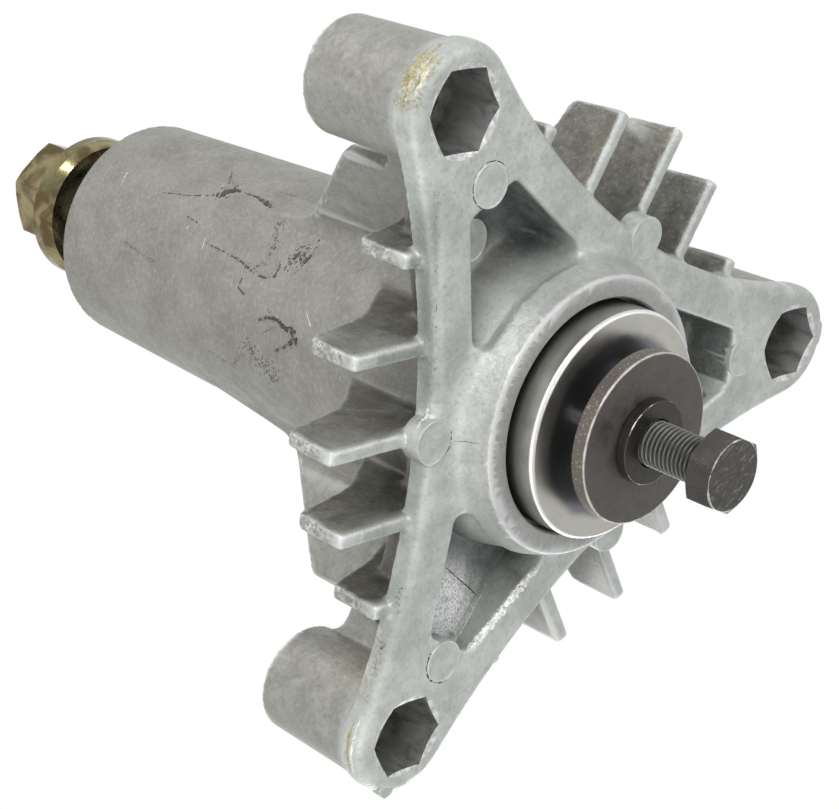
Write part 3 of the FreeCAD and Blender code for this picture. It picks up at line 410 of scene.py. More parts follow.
def turned_steel_look(name, level, warm=0.0, roughness=0.3, paint_disc_light=False):
    """Lathe-turned steel with fine rings about the shaft axis, which draw highlights out into fans."""
    look = Look(name, metallic=0.95)
    look.shader.inputs["Anisotropic"].default_value = 0.75
    tangent = look.add("ShaderNodeTangent", {}, direction_type="RADIAL", axis="Z")
    look.feed(look.shader.inputs["Tangent"], tangent[0])
    radius, angle, z = look.round_coords()
    rings = look.noise(0.3, 2.0, 0.6, look.joined(radius, z))
    blotch = look.noise(9.0, 3.0)
    speck = look.noise(0.7, 3.0, 0.6)
    tone = (level * 1.03, level, level * (1 - warm))
    colour = look.mottled(blotch, dimmed(tone, 0.9), tone)
    # The disc's painted shade, rim highlight and washer shadow
    if paint_disc_light:
        colour = disc_painted_light(look, colour, blotch, radius, angle, z)
    colour = look.tinted(colour, grey(0.2, 0.15), 0.35, look.ramped(speck, 0.66, 0.74))
    rough = look.spread(blotch, roughness * 0.9, roughness * 1.15)
    return look.finish(colour, rough, look.bump(rings, 0.02, 0.5))


def bolt_wear_and_thread_shade(look, colour, radius, z):
    """The blade bolt's grey thread crests over roots painted dark as shade, and the scuffs on the face of
    its head.
    """
    past_head = look.ramped(z, HEAD_SEAT, HEAD_SEAT + 0.5)
    on_thread = look.times(look.ramped(radius, BOLT_R + 0.5, BOLT_R + 0.3), past_head)
    # Thread roots painted dark as shade, crests lighter
    crests = look.ramped(radius, BOLT_R - 0.45, BOLT_R - 0.05)
    colour = look.mixed(on_thread, colour, look.mixed(crests, grey(0.03, 0.1), grey(0.17, 0.09)))
    scuffs = look.noise(1.0, 3.0, 0.65, look.scaled(look.place, (0.35, 1.2, 0.35)), distortion=1.2)
    on_face = look.ramped(z, HEAD_FRONT + 0.3, HEAD_FRONT + 0.1)
    return look.tinted(colour, grey(0.2, 0.08), 0.7, look.times(on_face, look.ramped(scuffs, 0.52, 0.66)))


def dark_steel_look(name, level, roughness, rubbed_and_lit_ring, bolt=False, pitted=None):
    """Blackened steel. The ring argument is the (radius, height, width) of an edge painted bright, partly as
    wear and partly as a painted highlight, and pitted is the radius beyond which it is browner, with pits."""
    look = Look(name, metallic=0.55)
    radius, _, z = look.round_coords()
    blotch = look.noise(4.0, 4.0, 0.6)
    speck = look.noise(0.5, 3.0, 0.6)
    tone = (level * 1.10, level, level * 0.90)
    colour = look.mottled(blotch, tone, dimmed(tone, 1.35))
    colour = look.tinted(colour, grey(0.26, 0.12), 0.5, look.ramped(speck, 0.62, 0.74))
    if pitted:
        pits = look.mottled(speck, (0.18, 0.155, 0.135), (0.50, 0.45, 0.38), 0.56, 0.68)
        colour = look.tinted(colour, pits, 0.75, look.ramped(radius, pitted, pitted + 0.4))
    ring_r, ring_z, width = rubbed_and_lit_ring
    # An edge painted bright: wear, and a painted highlight
    gap = look.length(look.maths("SUBTRACT", radius, ring_r), look.maths("SUBTRACT", z, ring_z))
    ragged = look.plus(gap, look.spread(blotch, -0.12, 0.12))
    colour = look.tinted(colour, grey(0.60, 0.08), 0.85, look.ramped(ragged, width, 0.08))
    if bolt:
        colour = bolt_wear_and_thread_shade(look, colour, radius, z)
    rough = look.spread(blotch, roughness * 0.8, roughness * 1.2)
    return look.finish(colour, rough, look.bump(speck, 0.05, 0.6))


def zinc_look():
    """Yellow zinc plate, from straw to olive and brown."""
    look = Look("yellow_zinc", metallic=1.0)
    blotch = look.noise(5.0, 3.0, 0.55, distortion=0.6)
    other = look.noise(8.0, 2.0, 0.5)
    colour = look.mottled(blotch, (0.12, 0.085, 0.04), (0.31, 0.265, 0.14), 0.35, 0.65)
    colour = look.tinted(colour, (0.17, 0.17, 0.09), 0.6, look.ramped(other, 0.5, 0.7))
    fine = look.noise(0.6, 3.0)
    return look.finish(colour, look.spread(fine, 0.18, 0.3), look.bump(fine, 0.02, 0.4))


def plain_look(name, colour, metallic, roughness):
    look = Look(name, metallic, roughness)
    fine = look.noise(0.8, 3.0)
    return look.finish(look.mixed(fine, dimmed(colour, 0.75), colour), None, look.bump(fine, 0.02, 0.4))


def dress(piece, material):
    piece.data.materials.clear()
    piece.data.materials.append(material)


# Meshes

def rework(mesh, sources, change=None):
    """Fill a mesh with the faces of others, or its own, and change them."""
    work = bmesh.new()
    for source in sources:
        work.from_mesh(source)
    if change:
        change(work)
    work.to_mesh(mesh)
    work.free()


def placed(name, data):
    """A new object in the scene that shows a mesh, lamp or camera."""
    item = bpy.data.objects.new(name, data)
    bpy.context.scene.collection.objects.link(item)
    return item


def smooth(piece, sharp_from=None):
    """Shade a piece smooth, but for the edges that turn by more than some degrees."""
    piece.data.shade_smooth()
    if sharp_from:
        piece.data.set_sharp_from_angle(angle=math.radians(sharp_from))


def on_casting(piece, material, sharp_from=None):
    """Make a piece part of the cast housing."""
    smooth(piece, sharp_from)
    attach(piece, "housing")
    dress(piece, material)


def joined_copy(node, name):
    """A copy of a CAD node's mesh with its split corners joined, as a new object."""
    mesh = nodes[node].data.copy()
    mesh.name = name
    rework(mesh, [mesh], lambda work: bmesh.ops.remove_doubles(work, verts=work.verts, dist=1e-6))
    mesh.materials.clear()
    return placed(name, mesh)


def with_modifier(piece, kind, **settings):
    """Apply one modifier to a piece's mesh."""
    modifier = piece.modifiers.new(kind.lower(), kind)
    for key, value in settings.items():
        setattr(modifier, key, value)
    graph = bpy.context.evaluated_depsgraph_get()
    mesh = bpy.data.meshes.new_from_object(piece.evaluated_get(graph))
    piece.modifiers.clear()
    old = piece.data
    piece.data = mesh
    bpy.data.meshes.remove(old)


def read(rows, name, width, kind=float):
    """One measure of a mesh's points or edges, as a row of numbers for each."""
    flat = np.empty(len(rows) * width, dtype=kind)
    rows.foreach_get(name, flat)
    return flat.reshape(-1, width)


def points_of(mesh):
    """A mesh's points in millimetres."""
    return read(mesh.vertices, "co", 3) / MM


def set_points(mesh, points):
    mesh.vertices.foreach_set("co", (points * MM).ravel())
    mesh.update()


def edge_ends(mesh):
    return read(mesh.edges, "vertices", 2, np.int64)


def point_normals(mesh):
    return read(mesh.vertex_normals, "vector", 3)


def neighbour_mean(points, ends):
    """The middle of each point's neighbours along the edges."""
    total = np.zeros_like(points)
    for axis in range(3):
        for here, there in ((0, 1), (1, 0)):
            total[:, axis] += np.bincount(ends[:, here], points[ends[:, there], axis], len(points))
    return total / np.maximum(np.bincount(ends.ravel(), minlength=len(points)), 1)[:, None]


def relax(mesh, share, rounds):
    """Smooth the mesh by share. A hollow corner fills at full rate and an outer edge sinks more slowly."""
    rate = 0.6
    sinking = 0.25
    ends = edge_ends(mesh)
    points = points_of(mesh)
    for turn in range(rounds):
        if turn % 4 == 0:
            set_points(mesh, points)
            normals = point_normals(mesh)
        move = neighbour_mean(points, ends) - points
        along = np.einsum("ij,ij->i", move, normals)
        trim = np.where(along < 0, (1 - sinking) * along, 0.0)
        points += rate * share[:, None] * (move - trim[:, None] * normals)
    set_points(mesh, points)
    return points


def from_axis(points):
    """Distance of each point from the shaft axis."""
    return np.hypot(points[:, 0], points[:, 1])


def beside_ray(points, degrees):
    """How far points lie along a direction from the axis, and how far to the left of it."""
    x, y, _ = on_ray(degrees, 1.0)
    return points[:, 0] * x + points[:, 1] * y, points[:, 1] * x - points[:, 0] * y


def near_bolt(points, reach):
    """Whether points lie within a distance, in plan, of a deck bolt's axis."""
    return np.any([np.hypot(points[:, 0] - x, points[:, 1] - y) < reach for x, y, _ in BOLTS], axis=0)


def in_pocket(points, grow=0.0, corners=CORNERS):
    """Whether points lie in the plan of a corner pocket, which grow widens."""
    inside = np.zeros(len(points), dtype=bool)
    flare = (POCKET_BASE_HALF - POCKET_TIP_HALF) / (POCKET_TIP_AT - POCKET_BASE_AT)
    for corner in corners:
        along, across = beside_ray(points, corner)
        half = POCKET_TIP_HALF + (POCKET_TIP_AT - along) * flare
        in_length = (along < POCKET_TIP_AT + grow) & (along > POCKET_BASE_AT - 0.3)
        inside |= in_length & (np.abs(across) < half + grow)
    return inside


def grid_piece(name, rings):
    """A closed surface through rings of points, which are lists of (x, y, z) in millimetres."""
    mesh = bpy.data.meshes.new(name)
    count = len(rings[0])
    points = [tuple(c * MM for c in point) for ring in rings for point in ring]
    faces = []
    last = (len(rings) - 1) * count
    for row in range(0, last, count):
        for i in range(count):
            j = (i + 1) % count
            faces.append((row + i, row + j, row + count + j, row + count + i))
    faces.append(tuple(range(count - 1, -1, -1)))
    faces.append(tuple(range(last, last + count)))
    mesh.from_pydata(points, [], faces)
    rework(mesh, [mesh], lambda work: bmesh.ops.recalc_face_normals(work, faces=work.faces))
    return placed(name, mesh)


def lathe_piece(name, profile, centre=(0.0, 0.0), count=144):
    """A closed turned solid from a profile of (radius, height) corners."""
    turns = [2 * math.pi * i / count for i in range(count)]
    rings = [[(centre[0] + r * math.cos(t), centre[1] + r * math.sin(t), z) for t in turns]
             for r, z in profile]
    return grid_piece(name, rings)


def merged(name, pieces, materials=()):
    """One object from several, which may overlap."""
    mesh = bpy.data.meshes.new(name)
    rework(mesh, [piece.data for piece in pieces])
    for piece in pieces:
        bpy.data.meshes.remove(piece.data)
    for material in materials:
        mesh.materials.append(material)
    return placed(name, mesh)


def in_slot(piece, number):
    """Give all of a piece's faces one material slot."""
    faces = piece.data.polygons
    faces.foreach_set("material_index", [number] * len(faces))
    return piece


def cut(piece, tool):
    with_modifier(piece, "BOOLEAN", operation="DIFFERENCE", object=tool, solver="MANIFOLD")
    bpy.data.meshes.remove(tool.data)


# The casting

def bore_plugs():
    """Solids a little wider than the bores and sockets, to fill them while the skin is softened."""
    floor = FLANGE_FRONT + SOCKET_DEPTH + 0.9
    hub_r = 25.2
    neck_r = 21.2
    socket_r = 9.5
    hole_r = 5.4
    main = [(hub_r, COLLAR_FRONT), (hub_r, floor), (neck_r, floor), (neck_r, TUBE_END)]
    socket = [(socket_r, FLANGE_FRONT), (socket_r, floor), (hole_r, floor), (hole_r, 0)]
    return [lathe_piece("plug", main)] + [lathe_piece("plug", socket, bolt[:2], 48) for bolt in BOLTS]


def bore_and_socket(piece, materials):
    """Cut the crisp machined bore and the cored sockets and bolt holes into the softened casting."""
    past = 3.0
    front_edge = 0.4
    end_edge = 0.8
    bore = lathe_piece("bore", [
        (BORE_R + front_edge, COLLAR_FRONT - past), (BORE_R + front_edge, COLLAR_FRONT),
        (BORE_R, COLLAR_FRONT + front_edge), (BORE_R, LOWER_SEAT_FRONT),
        (LOWER_SEAT_R, LOWER_SEAT_FRONT), (LOWER_SEAT_R, LOWER_SEAT_BACK),
        (CORE_R, LOWER_SEAT_BACK), (CORE_R, UPPER_SEAT_FRONT),
        (UPPER_SEAT_R, UPPER_SEAT_FRONT), (UPPER_SEAT_R, TUBE_END - end_edge),
        (UPPER_SEAT_R + end_edge, TUBE_END), (UPPER_SEAT_R + end_edge, TUBE_END + past)])
    hexagons, mouths, holes = [], [], []
    half = SOCKET_FLATS / 2
    cone = [(half + 3.75, FLANGE_FRONT - 1), (half, FLANGE_FRONT + 0.5)]
    drill = [(BOLT_HOLE_R, FLANGE_FRONT - 1), (BOLT_HOLE_R, past)]
    for bolt in BOLTS:
        rings = [[beside(bolt, 30 + 60 * i, half / math.cos(math.radians(30)), height) for i in range(6)]
                 for height in (FLANGE_FRONT - past, FLANGE_FRONT + SOCKET_DEPTH)]
        hexagons.append(in_slot(grid_piece("hexagon", rings), SOCKET_SLOT))
        mouths.append(in_slot(lathe_piece("mouth", cone, bolt[:2], 96), MOUTH_SLOT))
        holes.append(in_slot(lathe_piece("hole", drill, bolt[:2], 64), SOCKET_SLOT))
    for material in materials:
        piece.data.materials.append(material)
    for tools in ([bore] + hexagons, mouths, holes):
        cut(piece, merged("cutter", tools, materials))


def raise_lower_floor(points):
    """The lowest pocket is shallower than the others: its floor slopes towards the lug, with no pin mark."""
    hub_height = -21.0
    slope = 0.25
    kept_relief = 0.04
    along, _ = beside_ray(points, LOWEST)
    z = points[:, 2]
    floor = hub_height - slope * np.maximum(along - 28.0, 0.0)
    deep = in_pocket(points, 1.3, (LOWEST,)) & (z < -17.0) & (z > floor)
    points[deep, 2] = floor[deep] + kept_relief * (z[deep] - floor[deep])


def waves(points, grain, detail=2):
    """Smooth random heights between about -1 and 1, one for each point."""
    return np.array([noise.fractal(Vector(p) / grain, 0.8, 2.0, detail, noise_basis="PERLIN_ORIGINAL")
                     for p in points])


def turned_faces(points, hub_r, hub_back, end_depth, boss_r, boss_depth):
    """Whether points lie at the hub's turned front or at the flat end of the neck or of a boss."""
    z = points[:, 2]
    hub = (from_axis(points) < hub_r) & (z < hub_back)
    boss = near_bolt(points, boss_r) & (z > -boss_depth)
    return hub | (z > TUBE_END - end_depth) | boss


def soft_casting(materials):
    """The housing as it leaves the die: fins, webs and flange run into each other with soft corners."""
    voxel = 0.52
    most_triangles = 186000
    hub_back = -34.5
    plain_relief = 0.035
    rear_relief = 0.07
    floor_relief = 0.12
    piece = joined_copy("housing", "casting_skin")
    surface = BVHTree.FromObject(piece, bpy.context.evaluated_depsgraph_get())
    piece = merged("casting", [piece] + bore_plugs())
    with_modifier(piece, "REMESH", mode="VOXEL", voxel_size=voxel * MM, adaptivity=0.0)
    mesh = piece.data
    points = points_of(mesh)
    crisp = turned_faces(points, 29.2, hub_back, 0.6, 13.0, 0.6)
    radius = from_axis(points)
    bored = near_bolt(points, 5.6) | (radius < 25.4) & (points[:, 2] < hub_back) | (radius < 21.4)
    points = relax(mesh, np.where(crisp, 0.0, 1.0), 14)
    raise_lower_floor(points)
    set_points(mesh, points)
    lowered = in_pocket(points, 2.0, (LOWEST,)) & (points[:, 2] > -29.5)
    points = relax(mesh, np.where(lowered, 1.0, 0.0), 5)
    for i in np.nonzero(crisp & ~bored)[0]:
        points[i] = np.array(surface.find_nearest(Vector(points[i]) * MM)[0]) / MM
    set_points(mesh, points)
    share = min(1.0, most_triangles / (2 * len(mesh.polygons)))
    with_modifier(piece, "DECIMATE", decimate_type="COLLAPSE", ratio=share)

    mesh = piece.data
    points = points_of(mesh)
    radius = from_axis(points)
    z = points[:, 2]
    relief = np.where(turned_faces(points, 29.3, -34.0, 1.0, 13.2, 0.8), 0.0, plain_relief)
    relief = np.where((radius > 32) & (z > -29) & ~near_bolt(points, 13.8), rear_relief, relief)
    rough_floor = in_pocket(points, -0.5, (LOWEST,)) & (z < -20) & (z > -28) & (radius > 34)
    height = relief * waves(points, 3.5) + np.where(rough_floor, floor_relief, 0.0) * waves(points, 1.3, 1)
    set_points(mesh, points + height[:, None] * point_normals(mesh))
    bore_and_socket(piece, materials)
    return piece


def step(value, first, last):
    """A smooth step from 0 at first to 1 at last, which may be the lower of the two."""
    t = np.clip((value - first) / (last - first), 0.0, 1.0)
    return t * t * (3 - 2 * t)


def paint(mesh, name, value):
    """Write a number at each of a mesh's points, for a material to read."""
    layer = mesh.attributes.new(name, "FLOAT", "POINT")
    layer.data.foreach_set("value", value.astype(np.float32))


class Skin:
    """The casting's points and normals in millimetres, and the zones painted on them."""

    def __init__(self, mesh):
        self.mesh = mesh
        self.points = points_of(mesh)
        self.normals = point_normals(mesh)
        self.x, self.y, self.z = self.points.T
        self.up = self.normals[:, 2]
        self.radius = from_axis(self.points)

    def paint(self, name, value):
        paint(self.mesh, name, value)


def mark_form(skin):
    """Paint how far each point stands out of (edge) or lies in (hollow) its surroundings. The casting's look
    lightens the first as a painted highlight and darkens the second as dirt and painted shade.
    """
    rounds = 3
    ends = edge_ends(skin.mesh)
    calm = skin.points.copy()
    for _ in range(rounds):
        calm = neighbour_mean(calm, ends)
    out = np.einsum("ij,ij->i", skin.points - calm, skin.normals)
    in_socket = near_bolt(skin.points, 9.9) & (skin.z < -17) | near_bolt(skin.points, 5.8)
    out[(skin.radius < 26.2) | in_socket] = 0.0
    # Drives a painted highlight on the casting's edges
    skin.paint("edge", np.clip(out * 4, 0, 1))
    # Drives darkening in the hollows: dirt, and painted shade
    skin.paint("hollow", np.clip(-out * 3, 0, 1))


def towards_side(skin):
    """How far points lie out towards the nearest side, and how far their normals turn to it."""
    reach = np.array([beside_ray(skin.points, side)[0] for side in SIDES])
    facing = np.array([beside_ray(skin.normals, side)[0] for side in SIDES])
    nearest = reach.argmax(axis=0)
    return reach.max(axis=0), np.choose(nearest, facing)


def from_webs(points):
    """Distance of points from the middle of the nearest web."""
    nearest = np.full(len(points), FAR)
    for corner in CORNERS:
        along, across = beside_ray(points, corner)
        nearest = np.minimum(nearest, np.where(along > 0, np.abs(across), FAR))
    return nearest


def mark_pockets(skin):
    """Paint the pockets' shade and a painted highlight patch on the lowest one's floor. Gives the pockets
    and their lit walls.
    """
    x, y, z = skin.points.T
    in_plan = in_pocket(skin.points, POCKET_LIP)
    lowest = in_pocket(skin.points, POCKET_LIP, (LOWEST,)) & (z < -19)
    top = in_pocket(skin.points, POCKET_LIP, (CORNERS[0],)) & (z < -17)
    right_wall = (y < 0) & (x < 0) & (skin.normals[:, 1] > 0.75)
    along, _ = beside_ray(skin.points, LOWEST)
    below_lip = np.where(skin.radius < 37, step(z, -31.5, -22.0), step(z, -30.4, -29.2))
    pocket = in_plan * below_lip * step(z, -17.0, -17.8)
    shade = np.where(y > 0, 1.0, np.where(right_wall, 0.0, 0.9))
    shade = np.where(lowest, np.where((skin.up > -0.5) & (along > 36), 0.45, 0.9), shade)
    hub_flank = step(skin.radius, 43.0, 38.0)
    hub_flank = np.where(lowest, step(skin.radius, 33.5, 30.5), hub_flank)
    hub_flank = np.where(top, hub_flank * step(x, -11.0, 1.0), hub_flank)
    skin.paint("pocket", pocket * shade * (1 - hub_flank))
    # A painted highlight patch, brightest at its middle
    from_patch = np.hypot(x - 37.6, y + 21.8) / np.where(along > 43.0, 7.5, 5.0)
    skin.paint("painted_shine", lowest * np.minimum(1.0, 1.7 * np.exp(-from_patch ** 2)) * step(skin.up, -0.5, -0.8))
    # Pocket faces that get a painted highlight
    lit_flank = top * step(x, 0.0, 5.0) * step(skin.radius, 38.0, 34.0) * (z > -31)
    lit_wall = right_wall & in_plan & (z > -30.5)
    return pocket, np.maximum(0.6 * lit_flank, 0.5 * lit_wall)


def mark_fins(skin, pocket):
    """Paint the fins' dark flanks, dirt and painted shade together, and their mottled ends. Gives the
    flanks, the fronts and the lit lips.
    """
    z = skin.z
    reach, facing = towards_side(skin)
    off_boss = np.where(near_bolt(skin.points, 13.6), 0.0, 1.0)
    end = step(facing, 0.5, 0.85) * (reach > 43) * off_boss
    front = step(skin.up, -0.4, -0.8)
    rim_wall = step(facing, 0.35, 0.75) * step(z, -21.0, -24.0)
    # Flanks darkened: dirt, and painted shade
    flank = step(skin.radius, 28.8, 31.2) * step(z, -29.5, -27.5) * step(z, 3.0, -1.0) * off_boss
    flank = flank * step(from_webs(skin.points), 2.6, 3.6) * (pocket < 0.01)
    flank = flank * (1 - np.maximum(end, front)) * (1 - rim_wall)
    # Fin fronts and, below, fin lips get a painted highlight
    fin_front = front * (skin.radius > 31.0) * step(z, -4.0, -8.0) * step(z, -27.5, -26.5)
    fin_front = fin_front * off_boss * (pocket < 0.01)
    lip = 0.8 * step(z, -24.5, -27.4) * step(skin.radius, 37.0, 39.0)
    lip = lip * (np.abs(skin.up) < 0.9) * (flank > 0.05) * (skin.x > 15)
    skin.paint("flank", flank)
    skin.paint("rough", end * step(z, -24.5, -22.5) * step(z, -8.0, -12.0))
    return flank, fin_front, lip


def mark_dirt_and_web_shade(skin):
    """Paint the sandy dirt on the top lug's rim and by the lowest lug, and a brown painted shade on the top
    web's tip.
    """
    x, y, z = skin.points.T
    rim = near_bolt(skin.points, 14.5) * step(y, 79.0, 81.0) * (x > -3) * step(z, -23.5, -26.0)
    rim = rim * step(x * 0.6 - y, -86.5, -83.0) * step(np.hypot(x, y - BOLT_CIRCLE_R), 10.8, 11.8)
    valley = (np.hypot(x - 60.5, y + 20.5) < 7) * step(z, -12.0, -18.0) * (z > -29.0)
    # A brown painted shade on the top web's tip
    web_tip_shade = (np.abs(x) < 1.6) * (y > 50.5) * (y < 56) * step(z, -5.5, -4.0) * step(z, 10.0, 8.5)
    skin.paint("sand", np.clip(rim + 0.6 * valley, 0, 1))
    skin.paint("brown", web_tip_shade)


def mark_bevel(skin):
    """Paint the sloping edge of the flange's left side darker, a painted shade, as the photograph has it."""
    reach, left = beside_ray(skin.points, SIDES[2])
    away = np.abs(left)
    bevel_shade = step(reach - 0.135 * away, 34.2, 35.6) * step(away, 4.0, 12.0) * step(away, 52.0, 42.0)
    # Painted shade, stronger on one side of the corner
    skin.paint("bevel_shade", bevel_shade * step(skin.z, -25.0, -28.0) * (reach < 50) * np.where(left > 0, 0.85, 0.4))


def mark_zones(skin):
    """Paint which parts of the casting's skin take which tone, painted shade and painted highlights among
    them.
    """
    radius, z = skin.radius, skin.z
    pocket, lit_pocket = mark_pockets(skin)
    flank, fin_front, lip = mark_fins(skin, pocket)
    mark_dirt_and_web_shade(skin)
    mark_bevel(skin)
    skin.paint("neck", step(radius, 33.5, 30.5) * step(z, -14.0, -4.0))
    collar = np.maximum(0.75 * step(z, -35.0, -38.0), 0.3 * step(z, -31.0, -33.5))
    skin.paint("collar", collar * (radius > 23.8) * (radius < 37))
    skin.paint("front", np.maximum(step(z, -22.0, -26.0) * (1 - flank), fin_front))
    # A painted highlight
    skin.paint("bright", np.maximum(np.maximum(fin_front, lip), lit_pocket))


def pin_pad(number, place, depth, material, radius=MARK_R):
    """A round pad with a slightly ragged outline and a thin flash lip of uneven height."""
    dice = random.Random(number)
    phase = [dice.uniform(0, 2 * math.pi) for _ in range(5)]
    x, y, top = place
    count = 72
    rings = []
    for share, lift in ((0.1, 0), (0.45, 0), (0.8, 0), (0.93, 0), (0.985, 1.0), (1.03, 0.4), (1.05, -0.6)):
        ring = []
        for i in range(count):
            t = 2 * math.pi * i / count
            wobble = sum(math.sin((k + 2) * t + phase[k]) / (k + 2) for k in range(5))
            reach = radius * share + (0.10 * wobble if share > 0.9 else 0.0)
            rise = max(0.0, lift) * 0.14 * max(0.0, 0.5 + wobble) + min(0.0, lift) * 0.3
            ring.append((x + reach * math.cos(t), y + reach * math.sin(t), top - rise))
        rings.append(ring)
    rings.append([(x + (px - x) * 0.99, y + (py - y) * 0.99, top + depth) for px, py, _ in rings[-1]])
    piece = grid_piece("pin_pad_%d" % number, rings)
    lip = np.zeros(len(piece.data.vertices))
    first_lip_ring = 4
    lip[first_lip_ring * count:(first_lip_ring + 2) * count] = 1.0
    paint(piece.data, "lip", lip)
    on_casting(piece, material, 35)


def in_box(point):
    """The point, kept within the CAD model's box."""
    return tuple(min(max(c, low / MM), high / MM) for c, low, high in zip(point, cad_low, cad_high))


def on_skin(spot):
    """The casting's point nearest to a spot, and its normal there."""
    place, normal, _, _ = skin_tree.find_nearest(spot * MM)
    return place / MM, normal


def torn_ridge(name, path, height, width, material, seed, tilt):
    """A thin ragged fin of flash along a path on the casting, leaning towards tilt."""
    dice = random.Random(seed)
    spacing = 0.35
    root = 0.15
    dense = []
    for a, b in zip(path, path[1:]):
        a, b = Vector(a), Vector(b)
        steps = max(2, int((b - a).length / spacing))
        dense += [a.lerp(b, i / steps) for i in range(steps)]
    dense.append(Vector(path[-1]))
    lean = Vector(tilt).normalized()
    rings = []
    tall = 0.5
    for i, spot in enumerate(dense):
        foot, normal = on_skin(spot)
        forward = (dense[min(i + 1, len(dense) - 1)] - dense[max(i - 1, 0)]).normalized()
        up = (normal + lean * 0.5).normalized()
        side = forward.cross(up).normalized()
        tall = min(1.0, max(0.08, tall + dice.uniform(-0.35, 0.35)))
        fade = min(1.0, i / 3, (len(dense) - 1 - i) / 3)
        rise = height * tall * fade + 0.02
        half = width * (0.6 + 0.6 * dice.random()) * (0.3 + 0.7 * fade)
        shift = side * dice.uniform(-0.3, 0.3) * width
        base = foot - normal * root
        ring = [base - side * half, base + up * (rise + root) - side * half * 0.25 + shift,
                base + up * (rise * 0.85 + root) + side * half * 0.35 + shift, base + side * half]
        rings.append([in_box(point) for point in ring])
    piece = grid_piece(name, rings)
    on_casting(piece, material, 40)


def rim_tab(name, bolt, first, last, reach, front, back, material):
    """The stub of a runner, broken off at a lug's outer rim."""
    root = 12.0
    steps = 12
    rings = []
    for i in range(steps + 1):
        out = reach - 0.35 * (i in (0, steps))
        corners = ((root, front + 0.2), (out - 0.3, front), (out, front + 0.4), (out, back - 0.4),
                   (root, back))
        turn = first + (last - first) * i / steps
        rings.append([in_box(beside(bolt, turn, r, height)) for r, height in corners])
    piece = grid_piece(name, rings)
    on_casting(piece, material, 30)


def on_neck(strokes):
    """Strokes given by angle and height as rows of (x, y, z, half width) near the neck's surface."""
    return [[(*on_ray(angle, 27.0, height), half) for angle, height, half in stroke] for stroke in strokes]


def ring_strokes(centre, radius, half, spans):
    """Arcs round a pin pad, one for each (first, last) span of directions."""
    return [[(*point, half) for point in arc(centre, radius, first, last, FLANGE_FRONT, 10)]
            for first, last in spans]


def stain(name, strokes, material, seed, flakes, spread, whole):
    """Smears on the casting: thin ragged bands, whole for some of their length, with flakes along them."""
    dice = random.Random(seed)
    spacing = 0.22
    points = []
    faces = []

    def flake(spot, reach):
        place, normal = on_skin(spot)
        side = normal.orthogonal().normalized()
        other = normal.cross(side)
        top = len(points)
        points.append(place + normal * 0.03)
        points.append(place - normal * 0.05)
        count = 6
        stretch = dice.uniform(0.5, 1.5)
        for i in range(count):
            t = 2 * math.pi * i / count
            r = reach * dice.uniform(0.5, 1.3)
            rim = place + side * (r * math.cos(t)) + other * (r * stretch * math.sin(t))
            points.append(rim + normal * 0.012)
        for i in range(count):
            a, b = top + 2 + i, top + 2 + (i + 1) % count
            faces.append((top, a, b))
            faces.append((top + 1, b, a))

    def band(before, middle, side, half):
        """Carry the band on to the next ring of four points, and give that ring's first."""
        ring = len(points)
        for reach, rise in ((-half, 0.01), (0, 0.03), (half, 0.01), (0, -0.05)):
            spot, up = on_skin(middle + side * reach)
            points.append(spot + up * rise)
        if before is None:
            faces.append((ring, ring + 1, ring + 2, ring + 3))
        else:
            faces.extend((before + k, before + (k + 1) % 4, ring + (k + 1) % 4, ring + k) for k in range(4))
        return ring

    for stroke in strokes:
        before = None
        for start, end in zip(stroke, stroke[1:]):
            a, b = Vector(start[:3]), Vector(end[:3])
            along = (b - a).normalized()
            steps = max(2, int((b - a).length / spacing))
            for i in range(steps):
                share = i / steps
                half = (start[3] + (end[3] - start[3]) * share) * dice.uniform(0.55, 1.25)
                place, normal = on_skin(a.lerp(b, share))
                side = along.cross(normal).normalized()
                middle = place + side * dice.uniform(-0.35, 0.35) * half
                if whole and dice.random() < whole:
                    before = band(before, middle, side, half)
                elif before is not None:
                    faces.append((before + 3, before + 2, before + 1, before))
                    before = None
                for _ in range(int(flakes * dice.uniform(0.2, 1.2) * (1 + half))):
                    away = side * dice.gauss(0, spread * half + 0.08) + along * dice.uniform(-0.3, 0.3)
                    flake(place + away, dice.uniform(0.06, 0.20) * (0.6 + half))
        if before is not None:
            faces.append((before + 3, before + 2, before + 1, before))
    mesh = bpy.data.meshes.new(name)
    mesh.from_pydata([tuple(point * MM) for point in points], [], faces)
    on_casting(placed(name, mesh), material)


# The blade bolt

def hex_reach(degrees):
    """Distance from the axis to the side of the bolt's head in one direction."""
    from_flat = (degrees - HEAD_TURN) % 60 - 30
    return HEAD_FLATS / 2 / math.cos(math.radians(from_flat))


